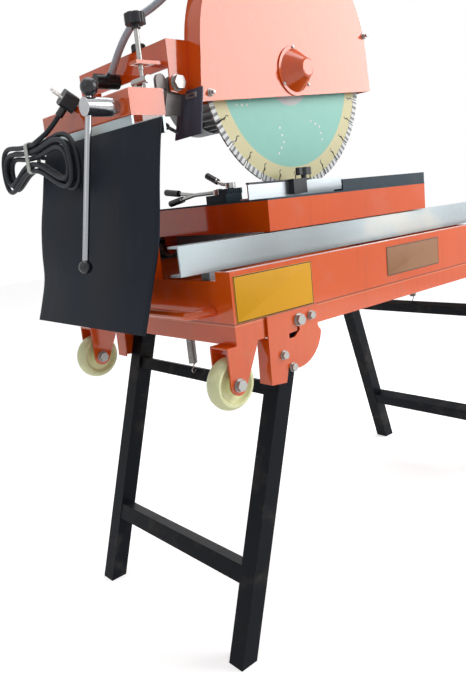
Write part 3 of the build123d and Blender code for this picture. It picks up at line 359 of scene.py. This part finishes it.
# Blade: a mint core with chains of small holes, painted with the white of the backdrop as painted
# light, and a pale yellow rim with a wavy slot at each gap, painted near black as painted shade.
# Each hole of a chain has its distance from the axis and its offset to the side, in metres.
BLADE_AT = (306, 140, 310)
SEGMENTS = 28
SEGMENT_RIBS = 4
HOLE_CHAINS = 7
CHAIN_HOLES = (
    (0.098, -0.009), (0.109, -0.002), (0.120, 0.004), (0.131, -0.001), (0.142, -0.006),
)
HOLE_RADIUS = 0.0021
BARE_MIDDLE_EDGE = (0.054, 0.056)
CORE_EDGE = (0.1614, 0.1626)
SLOTS_FROM = 0.169
SLOT_HALF_WIDTH = 0.0012
SLOT_SWAY = 0.0016
SLOT_WAVES = 480.0
MINT = (0.20, 0.55, 0.44)
MINT_WORN = (0.30, 0.64, 0.55)
RIM_YELLOW = (0.70, 0.64, 0.35)
BARE_MIDDLE = (0.55, 0.56, 0.55)
PAINTED_HOLE_LIGHT = (0.86, 0.88, 0.86)
PAINTED_SLOT_SHADE = (0.05, 0.05, 0.045)


def polar(finish):
    """Distance from the blade's axis and the angle round it."""
    x, _, z = finish.axes(at(*BLADE_AT))
    return (x * x + z * z).root(), z.angle_from(x)


def aside(angle, radius, count):
    """Distance along the rim from the nearest of count equal divisions."""
    share = (angle * (count / (2 * math.pi)) + 0.5).fraction() - 0.5
    return share * radius * (2 * math.pi / count)


blade_coat = Finish("blade_coat")
radius, angle = polar(blade_coat)
chain = aside(angle, radius, HOLE_CHAINS)
holes = 0.0
for hole_at, offset in CHAIN_HOLES:
    away = (radius - hole_at) ** 2.0 + (chain - offset) ** 2.0
    holes = (away < HOLE_RADIUS ** 2) + holes
wave = SLOT_SWAY * (radius * SLOT_WAVES).sine()
in_slot = (aside(angle, radius, SEGMENTS) + wave).size() < SLOT_HALF_WIDTH
slots = in_slot * (radius > SLOTS_FROM)
wear = blade_coat.noise(0.03, 4.0)
face = blade_coat.blend(wear, MINT, MINT_WORN)
face = blade_coat.blend(radius.step(*CORE_EDGE), face, RIM_YELLOW)
face = blade_coat.blend(radius.step(*BARE_MIDDLE_EDGE), BARE_MIDDLE, face)
# Painted light: the holes show the white backdrop as if seen through them
face = blade_coat.blend(holes, face, PAINTED_HOLE_LIGHT)
# Painted shade: the slots are darkened to near black
face = blade_coat.blend(0.9 * slots, face, PAINTED_SLOT_SHADE)
blade_coat.set(Base_Color=face, Roughness=0.36 + 0.15 * wear, Specular_IOR_Level=0.45)
blade_coat.relief(1 - holes - slots, 0.001, 0.6, BLADE_EDGE)

segment_metal = Finish("segment_metal")
_, angle = polar(segment_metal)
ribs_and_groove_shade = (angle * float(SEGMENTS * SEGMENT_RIBS)).sine().step(-0.75, -0.1)
grit = segment_metal.noise(0.0016, 3.0)
bright = segment_metal.blend(grit, (0.34, 0.35, 0.35), (0.62, 0.63, 0.62))
# Painted shade: the grooves between the ribs are darkened
segment_metal.set(Base_Color=segment_metal.blend(ribs_and_groove_shade, (0.17, 0.175, 0.18), bright))
segment_metal.set(Metallic=0.5, Roughness=0.45 + 0.2 * grit)
segment_metal.relief(ribs_and_groove_shade + 0.4 * grit, 0.0012, 0.8)

# Lock bar: chrome between two black balls, which begin at these heights over the tray's top
LOWER_BALL_TOP = 0.0335
UPPER_BALL_FOOT = 0.2705

bar_finish = Finish("bar_finish")
height = bar_finish.axes(TRAY_CORNER)[2]
balls = (height > UPPER_BALL_FOOT) + (height < LOWER_BALL_TOP)
fine = bar_finish.noise(0.004, 3.0)
bar_finish.set(Base_Color=bar_finish.blend(balls, (0.36, 0.37, 0.39), (0.010, 0.011, 0.016)))
bar_finish.set(Metallic=1.0 - balls, Roughness=0.16 + 0.1 * balls + 0.08 * fine)
bar_finish.relief(fine, 0.0001, 0.2)

# Plug: a black body with bare pins, which begin this far from its middle
PLUG_MIDDLE = at(-37, 318, 286.7)
PIN_WAY = Vector((-0.85, 0, 0.53)).normalized()
PINS_FROM = 0.0132

plug_finish = Finish("plug_finish")
out_x, _, out_z = plug_finish.axes(PLUG_MIDDLE)
pins = out_x * PIN_WAY.x + out_z * PIN_WAY.z > PINS_FROM
fine = plug_finish.noise(0.0015, 2.0)
plug_finish.set(Base_Color=plug_finish.blend(pins, (0.012, 0.013, 0.017), (0.78, 0.78, 0.76)))
plug_finish.set(Metallic=0.8 * pins, Roughness=0.34 + 0.1 * fine)
plug_finish.relief(fine, 0.0001, 0.3, SOFT_EDGE)


def lever_finish(name, reach):
    """Drawn steel with a black grip beyond reach from the tray's near side, in metres."""
    lever = Finish(name)
    grip = lever.axes(TRAY_CORNER)[1] > reach
    fine = lever.noise(0.003, 3.0)
    lever.set(Base_Color=lever.blend(grip, (0.46, 0.46, 0.45), (0.012, 0.012, 0.015)))
    lever.set(Metallic=0.95 - 0.95 * grip, Roughness=0.26 + 0.16 * grip + 0.1 * fine)
    return lever.relief(fine, 0.0001, 0.3)


fork_lever = lever_finish("fork_lever", 0.2955)
small_lever = lever_finish("small_lever", 0.1995)

PLATE_MARGIN = 0.0006
PLATE_LINE_WIDTH = 0.0015


def plate_finish(name, low, high, colour, line):
    """A blank printed plate between two corners, with one thin line round its edge."""
    plate = Finish(name)
    half = (high - low) / 2
    x, _, z = plate.axes((low + high) / 2)
    inside = (half.x - x.size()).least(half.z - z.size())
    border = (inside > PLATE_MARGIN) * (inside < PLATE_MARGIN + PLATE_LINE_WIDTH)
    worn = plate.noise(0.03, 4.0).step(0.5, 0.8)
    tone = plate.blend(0.25 * worn, colour, toned(colour, 0.75))
    plate.set(Base_Color=plate.blend(border, tone, line), Roughness=0.48 + 0.15 * worn)
    plate.set(Specular_IOR_Level=0.2)
    return plate.relief(plate.noise(0.002, 2.0), 0.0001, 0.2)


def cover(piece, finish):
    """Gives a piece this finish and no other."""
    piece.data.materials.clear()
    piece.data.materials.append(finish.material)


FINISHES = {
    orange_paint: [
        "uprights", "head_beam", "carry_handle", "wheel_forks", "leg_brackets", "swing_arm",
        "guard_shell", "guard_front", "guard_cone", "cart_frame", "deck_plates", "roller_brackets",
    ],
    tray_paint: ["tray"],
    slate_paint: ["water_pan", "upstand", "clamp_block"],
    black_paint: ["rear_leg_frame", "front_leg_frame"],
    motor_paint: ["motor"],
    galvanised: ["rail_near", "rail_far", "curtain_bar"],
    zinc_plate: [
        "wheel_axles", "leg_bolts", "pivot_bolts", "depth_rod", "water_nozzle", "arbor",
        "roller_axle_rear", "roller_axle_front",
    ],
    dull_steel: ["pivot_brackets"],
    bright_steel: ["fence"],
    chrome: ["lock_hub"],
    bar_finish: ["lock_bar"],
    plug_finish: ["plug"],
    fork_lever: ["clamp_lever"],
    small_lever: ["short_lever"],
    mat_rubber: ["deck_mat"],
    black_plastic: [
        "switch_box", "cord_gland", "depth_knob", "arm_cap", "valve_body", "valve_knob",
        "fence_stop", "fence_knob",
    ],
    tie_plastic: ["cord_tie"],
    green_plastic: ["start_button"],
    red_plastic: ["stop_button"],
    nylon: ["wheel_near", "wheel_far"],
    blade_coat: ["blade_core"],
    segment_metal: ["blade_segments"],
}
for finish, names in FINISHES.items():
    for name in names:
        cover(nodes[name], finish)


def place(piece, finish, body):
    """Gives a finished piece its material and its body."""
    cover(piece, finish)
    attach(piece, body)


def select_only(piece):
    bpy.ops.object.select_all(action="DESELECT")
    piece.select_set(True)
    bpy.context.view_layer.objects.active = piece


def begin(name, primitive, **settings):
    """A new primitive, the only thing selected, with its place put into its mesh."""
    bpy.ops.object.select_all(action="DESELECT")
    primitive(**settings)
    piece = bpy.context.object
    piece.name = name
    bpy.ops.object.transform_apply(location=True, rotation=True, scale=True)
    return piece


def finish_with(piece, kind, **settings):
    """Adds a modifier and applies it."""
    select_only(piece)
    modifier = piece.modifiers.new(kind.lower(), kind)
    for name, value in settings.items():
        setattr(modifier, name, value)
    bpy.ops.object.modifier_apply(modifier=modifier.name)


def soften(piece, width, segments=2):
    """Rounds all of a piece's sharp edges."""
    finish_with(piece, "BEVEL", width=width, segments=segments, limit_method="ANGLE")


def smooth(degrees):
    """Shades the chosen piece smooth, apart from edges sharper than this."""
    bpy.ops.object.shade_smooth_by_angle(angle=math.radians(degrees))


def round_edges(piece, chosen, offset):
    """Bevels the edges that chosen picks by their two end points."""
    select_only(piece)
    bpy.ops.object.mode_set(mode="EDIT")
    bpy.ops.mesh.select_mode(type="EDGE")
    bpy.ops.mesh.select_all(action="DESELECT")
    bpy.ops.object.mode_set(mode="OBJECT")
    corners = piece.data.vertices
    for edge in piece.data.edges:
        first, second = (corners[index].co for index in edge.vertices)
        edge.select = chosen(first, second)
    bpy.ops.object.mode_set(mode="EDIT")
    bpy.ops.mesh.bevel(offset=offset, segments=4, affect="EDGES")
    bpy.ops.object.mode_set(mode="OBJECT")


def join_pieces(name, pieces):
    """Makes one piece of several."""
    select_only(pieces[0])
    for piece in pieces[1:]:
        piece.select_set(True)
    bpy.ops.object.join()
    pieces[0].name = name
    smooth(35)
    return pieces[0]


def hanging_sheet(name, point_of, columns, rows, thick, edge):
    """A sheet through the points that point_of gives, with thick and edge in millimetres."""
    sheet = begin(
        name, bpy.ops.mesh.primitive_grid_add, x_subdivisions=columns, y_subdivisions=rows, size=1,
    )
    for corner in sheet.data.vertices:
        corner.co = point_of(corner.co.x + 0.5, 0.5 - corner.co.y)
    finish_with(sheet, "SOLIDIFY", thickness=thick * MM, offset=0)
    soften(sheet, edge * MM)
    smooth(40)
    return sheet


# Rubber curtain, from the top down: height, x at the near and far edges, y at both, and bulge
CURTAIN_LEVELS = (
    (224, -26.3, -26.3, 78, 434, 0.4),
    (188, -34, -40, 79, 433, 1),
    (135, -43, -53, 80, 431, 0.8),
    (88, -50, -64, 80, 431, 0.6),
    (40, -60, -71, 80, 431, 1),
    (-6, -76, -75, 80, 431, 5),
    (-47, -90, -87, 80, 431, 3),
    (-79, -101.5, -98.5, 80, 431, 0.6),
)
CURTAIN_THICK = 3.0
FOLD_DEPTH = 2.2
FOLD_FADE = 1.3
FOLDS_ACROSS = 7.0
FOLD_SLANT = 1.1


def smooth_between(values, place_at):
    """A smooth curve through equally spaced values."""
    last = len(values) - 1
    low = min(int(place_at), last - 1)
    share = place_at - low
    before, first, second, after = (values[min(max(low + i, 0), last)] for i in (-1, 0, 1, 2))
    bend = 2 * before - 5 * first + 4 * second - after
    twist = 3 * first - before - 3 * second + after
    rise = (second - before) * share + bend * share ** 2 + twist * share ** 3
    return 0.5 * (2 * first + rise)


def curtain_point(across, down):
    """A point of the curtain's middle, with soft folds that fade out towards its edges."""
    z, x_near, x_far, y_near, y_far, bulge = (
        smooth_between(column, down * (len(CURTAIN_LEVELS) - 1)) for column in zip(*CURTAIN_LEVELS)
    )
    inner = math.sin(math.pi * across)
    fold = FOLD_DEPTH * math.sin(math.pi * min(1, FOLD_FADE * down))
    fold *= math.sin(FOLDS_ACROSS * across + FOLD_SLANT * down)
    x = part_way(x_near, x_far, across) - bulge * inner - CURTAIN_THICK / 2
    return at(x - fold * inner ** 2, part_way(y_near, y_far, across), z)


curtain = hanging_sheet("rubber_curtain", curtain_point, 36, 32, CURTAIN_THICK, 0.6)
place(curtain, curtain_rubber, "base")
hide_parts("curtain")

# Splash flap: the y of its four corners and how far each lies along its slope,
# the x and z of its top edge, and the way up its slope
FLAP_CORNERS = ((115, 0), (173, 0), (181, -74), (113, -72))
FLAP_AT = (87.0, 276.0)
FLAP_UP = (0.196, 0.981)
FLAP_THICK = 2.8
FLAP_BEHIND = 1.5
FLAP_BOW = 1.2


def flap_point(across, down):
    """A point of the flap's middle, a little bowed towards its foot."""
    top_near, top_far, foot_far, foot_near = FLAP_CORNERS
    y, along = (
        part_way(part_way(a, b, across), part_way(c, d, across), down)
        for a, b, c, d in zip(top_near, top_far, foot_near, foot_far)
    )
    bow = FLAP_BOW * math.sin(math.pi * across) * down
    x = FLAP_AT[0] + along * FLAP_UP[0] - FLAP_BEHIND - bow
    return at(x, y, FLAP_AT[1] + along * FLAP_UP[1])


flap = hanging_sheet("rubber_flap", flap_point, 12, 12, FLAP_THICK, 0.5)
place(flap, flap_rubber, "head")
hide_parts("splash_flap")


def round_line(name, routes, radius, roundness=4, steps=6):
    """A round cord or wire as a curve, with one smooth open spline for each route."""
    line = bpy.data.curves.new(name, "CURVE")
    line.dimensions = "3D"
    for route in routes:
        spline = line.splines.new("NURBS")
        spline.points.add(len(route) - 1)
        for point, place_at in zip(spline.points, route):
            point.co = (*place_at, 1)
        spline.order_u = 3
        spline.use_endpoint_u = True
        spline.resolution_u = steps
    line.bevel_depth = radius
    line.bevel_resolution = roundness
    line.use_fill_caps = True
    return new_object(name, line)


def as_mesh(line, degrees):
    """A curve made into a mesh and shaded smooth."""
    select_only(line)
    bpy.ops.object.convert(target="MESH")
    smooth(degrees)
    return bpy.context.object


def centre_line(cord):
    """Points along a cord's centre line, read from its spline."""
    helper = new_object("centre_helper", cord.data.copy())
    helper.data.bevel_depth = 0
    shown = helper.evaluated_get(bpy.context.evaluated_depsgraph_get())
    points = [v.co.copy() for v in bpy.data.meshes.new_from_object(shown).vertices]
    bpy.data.objects.remove(helper)
    return points


def run_length(points):
    return sum((b - a).length for a, b in zip(points, points[1:]))


# Mains cord: out of the switch box, round the beam's end, through the tied hank and up to the plug.
# The hank's pairs are for its inner and outer layers, and for its near and far lobes.
CORD_RADIUS = 0.0042
HANK_AT = (415, 205)
HANK_LAYERS = (-64.0, -74.2)
HANK_TURNS = 4
HANK_POINTS = 24 * HANK_TURNS
LAYER_CLIMB = 0.5
LOBE_REACH = (152, 122)
LOBE_HEIGHT = (88, 72)
LOBE_INSET = 1.5
CORD_STEP = 9.6
WAIST_STEP = 10.4
WAIST_SLACK = 0.15
HANK_DROOP = 0.19
DROOP_ROUNDING = 30


def hank_point(turns):
    """A point of the hank: an oblong loop that winds in, climbs a layer and winds out again."""
    half = HANK_TURNS / 2
    inset = turns if turns < half else HANK_TURNS - turns
    layer = eased(min(1, max(0, (turns - half + LAYER_CLIMB / 2) / LAYER_CLIMB)))
    across = -math.sin(2 * math.pi * turns)
    up = math.cos(2 * math.pi * turns)
    far = eased((1 + across) / 2)
    reach = part_way(*LOBE_REACH, far) - CORD_STEP * inset
    lobe = part_way(*LOBE_HEIGHT, far) - LOBE_INSET * CORD_STEP * inset
    waist = WAIST_STEP * (half - inset + WAIST_SLACK)
    y = reach * across
    droop = HANK_DROOP * (math.hypot(y, DROOP_ROUNDING) - DROOP_ROUNDING)
    z = up * (waist + lobe * across * across) - droop
    return at(part_way(*HANK_LAYERS, layer), HANK_AT[0] + y, HANK_AT[1] + z)


PLUG_EXIT = Vector((-0.45, 0.526, -0.722)).normalized()
PLUG_NECK = PLUG_MIDDLE + PLUG_EXIT * 0.0292
PLUG_STRAIGHT = 0.030
hank = [hank_point(HANK_TURNS * step / HANK_POINTS) for step in range(HANK_POINTS + 1)]
lead_route = [
    at(58, 366.4, 233), at(58, 392, 233), at(44, 440, 204), at(-14, 490, 212),
    hank[0] + Vector((0, 0.042, -0.0005)),
]
tail_route = [
    hank[-1] + Vector((0, -0.016, 0)), at(-78, 372, 230),
    PLUG_NECK + PLUG_EXIT * PLUG_STRAIGHT, PLUG_NECK,
]
mains_cord = round_line("mains_cord", [lead_route + hank + tail_route], CORD_RADIUS)
place(mains_cord, black_rubber, "base")
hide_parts("cord_lead", "cord_hank", "cord_tail")
cord_points = centre_line(mains_cord)

# Tapered strain relief along the cord's first stretch
RELIEF_LENGTH = 0.030
RELIEF_RADIUS = 0.0076
RELIEF_TAPER = 0.36

relief_points = [
    point for index, point in enumerate(cord_points)
    if run_length(cord_points[:index + 1]) <= RELIEF_LENGTH
]
relief_line = round_line("strain_relief", [relief_points], RELIEF_RADIUS)
for index, point in enumerate(relief_line.data.splines[0].points):
    point.radius = 1 - RELIEF_TAPER * index / (len(relief_points) - 1)
strain_relief = as_mesh(relief_line, 40)
place(strain_relief, black_rubber, "base")

# Water hose from the valve to the nozzle's elbow on the guard's rim
HOSE_RADIUS = 0.006
VALVE_UP = Vector((0, -54, 57)).normalized()
VALVE_MOUTH = at(36, 299, 316) + VALVE_UP * 0.0162
VALVE_STRAIGHT = 0.084
GUARD_MIDDLE = at(306, 140, 330)
GUARD_RADIUS = 0.211
ELBOW_PROUD = 0.017
NOZZLE_TURN = math.radians(140)
NOZZLE_OUT = Vector((math.cos(NOZZLE_TURN), 0, math.sin(NOZZLE_TURN)))
ELBOW = GUARD_MIDDLE + NOZZLE_OUT * (GUARD_RADIUS + ELBOW_PROUD)
SPIGOT_OUT = Vector((-0.41, 0.665, -0.62)).normalized()
SPIGOT_END = ELBOW + SPIGOT_OUT * 0.0202
SPIGOT_STRAIGHT = 0.068

hose_route = [
    VALVE_MOUTH, VALVE_MOUTH + VALVE_UP * VALVE_STRAIGHT,
    SPIGOT_END + SPIGOT_OUT * SPIGOT_STRAIGHT, SPIGOT_END,
]
water_hose = round_line("hose_line", [hose_route], HOSE_RADIUS)
place(water_hose, hose_plastic, "head")
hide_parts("water_hose")

run_length(centre_line(water_hose))

# Leg springs: close coils with a hooked loop at the foot and a straight wire up to the tray
SPRING_AT = (84.0, 222.0)
SPRING_FOOT = -182.0
SPRING_TOP = -118.0
SPRING_RADIUS = 7.2
WIRE_RADIUS = 0.0012
WIRE_END = -78.8
WIRE_LEG = 3
COIL_PITCH = 2.56
HOOK_RADIUS = 4.6
HOOK_DROP = 13
TURN_POINTS = 14


def spring_route(x):
    """A spring's wire from its lower loop, round the coils and up to the tray."""
    y = SPRING_AT[1]
    route = []
    for turned in range(0, -315, -45):
        around = math.radians(turned)
        z = SPRING_FOOT - HOOK_DROP + HOOK_RADIUS * math.sin(around)
        route.append(at(x + HOOK_RADIUS * math.cos(around), y, z))
    route.append(at(x, y, SPRING_FOOT - WIRE_LEG))
    for step in range(int((SPRING_TOP - SPRING_FOOT) / COIL_PITCH) * TURN_POINTS + 1):
        around = 2 * math.pi * step / TURN_POINTS
        z = SPRING_FOOT + COIL_PITCH * step / TURN_POINTS
        route.append(
            at(x + SPRING_RADIUS * math.cos(around), y + SPRING_RADIUS * math.sin(around), z)
        )
    return route + [at(x, y, SPRING_TOP + WIRE_LEG), at(x, y, WIRE_END)]


spring_routes = [spring_route(x) for x in (SPRING_AT[0], TRAY_LENGTH - SPRING_AT[0])]
spring_line = round_line("leg_springs", spring_routes, WIRE_RADIUS, roundness=2, steps=2)
leg_springs = as_mesh(spring_line, 60)
place(leg_springs, zinc_plate, "base")
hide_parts("springs")

FACING_NEAR = (math.radians(90), 0, 0)


def machine_screw(name, x, y, z, radius, proud=0.0):
    """A hexagon screw on a washer that faces the near side, its thread's end standing proud."""
    tip = proud / radius
    # Sides, radius, depth, distance out from the face and rounding, in the thread's radii
    rows = [("washer", 32, 2.1, 0.4, 0.2, 0.14), ("screw_head", 6, 1.75, 1.3, 1.0, 0.14)]
    if proud:
        rows.append(("screw_tip", 20, 1.0, tip, 1.65 + tip / 2, 0.25))
    made = []
    for part, sides, width, depth, out, edge in rows:
        turned = begin(
            part, bpy.ops.mesh.primitive_cylinder_add, vertices=sides, radius=width * radius,
            depth=depth * radius, location=at(x, y, z) - Vector((0, out * radius, 0)),
            rotation=FACING_NEAR,
        )
        soften(turned, edge * radius)
        made.append(turned)
    return join_pieces(name, made)


GUARD_FACE = 121.0
guard_studs = join_pieces("guard_studs", [
    machine_screw("stud_front", 511, GUARD_FACE, 383, 0.0030, 0.005),
    machine_screw("stud_rear", 105, GUARD_FACE, 268, 0.0030, 0.005),
])
place(guard_studs, zinc_plate, "head")

CONE_FLANGE = 118.5
SCREW_CIRCLE = 39.0
cone_screws = join_pieces("cone_screws", [
    machine_screw(
        "cone_screw", BLADE_AT[0] + SCREW_CIRCLE * math.cos(math.radians(turned)), CONE_FLANGE,
        BLADE_AT[2] + SCREW_CIRCLE * math.sin(math.radians(turned)), 0.0014,
    )
    for turned in (95, 215, 325)
])
place(cone_screws, zinc_plate, "head")

# Slotted clip that holds the flap to the guard's rear edge
CLIP_MIDDLE = at(81.7, 141, 266.5)
CLIP_TILT = (0, math.atan2(*FLAP_UP), 0)
CLOSE = 0.001


def clip_block(name, size):
    """A block at the clip's place, tilted with the flap."""
    return begin(
        name, bpy.ops.mesh.primitive_cube_add, size=1, location=CLIP_MIDDLE, rotation=CLIP_TILT,
        scale=size,
    )


def runs_through(a, b):
    """Whether an edge of the clip goes through its thickness."""
    return abs(a.y - b.y) < CLOSE and abs(a.z - b.z) < CLOSE


clip = clip_block("flap_clip", (0.0016, 0.028, 0.009))
round_edges(clip, runs_through, 0.0035)
slot_cutter = clip_block("clip_slot", (0.01, 0.014, 0.0034))
finish_with(clip, "BOOLEAN", operation="DIFFERENCE", object=slot_cutter, solver="EXACT")
bpy.data.objects.remove(slot_cutter)
soften(clip, 0.0003)
smooth(35)
place(clip, zinc_plate, "head")

# Guide pin on the curtain bar's near end, with a collar
PIN_START = at(-22.2, 84, 214)
PIN_END = at(34, 126, 209)
pin_way = PIN_END - PIN_START


def pin_length(name, radius, length, share, edge):
    """A round length of the pin, with its middle at this share of the way."""
    turned = begin(
        name, bpy.ops.mesh.primitive_cylinder_add, vertices=24, radius=radius, depth=length,
        location=PIN_START + pin_way * share, rotation=pin_way.to_track_quat("Z", "Y").to_euler(),
    )
    soften(turned, edge, 3)
    return turned


guide_pin = join_pieces("guide_pin", [
    pin_length("guide_pin", 0.0026, pin_way.length, 0.5, 0.0008),
    pin_length("pin_collar", 0.0046, 0.012, 0.16, 0.001),
])
place(guide_pin, black_paint, "base")

# Two blank plates on the tray's near side: two corners, colour, line colour and slot
PLATES = {
    "yellow_plate": (
        at(5, -0.9, -77), at(175, -0.02, -7), (0.74, 0.36, 0.008), (0.03, 0.025, 0.02),
        "orange_paint",
    ),
    "dark_plate": (
        at(381, -0.9, -64), at(555, -0.02, -11), (0.34, 0.17, 0.085), (0.10, 0.06, 0.04),
        "slate_paint",
    ),
}
PLATE_CORNER = 0.002


def flat_plate(name, low, high):
    """A thin plate between two places, its four corners rounded in x and z."""
    size = high - low
    plate = begin(
        name, bpy.ops.mesh.primitive_cube_add, size=1, location=(low + high) / 2, scale=size,
    )
    round_edges(plate, lambda a, b: abs(a.y - b.y) > 0.5 * size.y, PLATE_CORNER)
    soften(plate, 0.3 * size.y)
    smooth(35)
    return plate


for name, (low, high, colour, line, slot) in PLATES.items():
    plate = flat_plate("blank_" + name, low, high)
    place(plate, plate_finish(name, low, high, colour, line), "base")

# Studio: a pale floor, a white backdrop and soft lamps
FLOOR_SIZE = 14
FLOOR_HEIGHT = -0.0005
BACKDROP_LIGHT = 0.30

floor = begin(
    "studio_floor", bpy.ops.mesh.primitive_plane_add, size=FLOOR_SIZE,
    location=(0, 0, FLOOR_HEIGHT),
)
floor_finish = Finish("studio_floor")
floor_finish.set(Base_Color=(0.86, 0.86, 0.86), Roughness=0.7, Emission_Strength=1.0)
glow = floor_finish.blend(floor_finish.seen(), (0, 0, 0), (0.6, 0.6, 0.6))
floor_finish.set(Emission_Color=glow)
cover(floor, floor_finish)

world = bpy.data.worlds.new("studio")
bpy.context.scene.world = world
world.use_nodes = True
sky = Wiring(world.node_tree)
backdrop = sky.tree.nodes["Background"].inputs
sky.feed(backdrop["Color"], (1, 1, 1))
sky.feed(backdrop["Strength"], BACKDROP_LIGHT + (1 - BACKDROP_LIGHT) * sky.seen())


def soft_lamp(name, place_at, aim, size, power):
    """A square lamp of this size in metres and power in watts."""
    lamp = new_object(name, bpy.data.lights.new(name, "AREA"))
    lamp.data.size = size
    lamp.data.energy = power
    lamp.location = place_at
    lamp.rotation_mode = "QUATERNION"
    lamp.rotation_quaternion = (Vector(aim) - Vector(place_at)).to_track_quat("-Z", "Y")


soft_lamp("key_lamp", (2.15, -2.25, 1.95), (-0.1, 0, 0.8), 2.0, 84)
soft_lamp("rear_lamp", (-2.8, -0.4, 2.2), (-0.3, 0, 0.8), 1.6, 6)
soft_lamp("top_lamp", (0.2, 0.4, 3.2), (0, 0, 0.7), 2.0, 34)
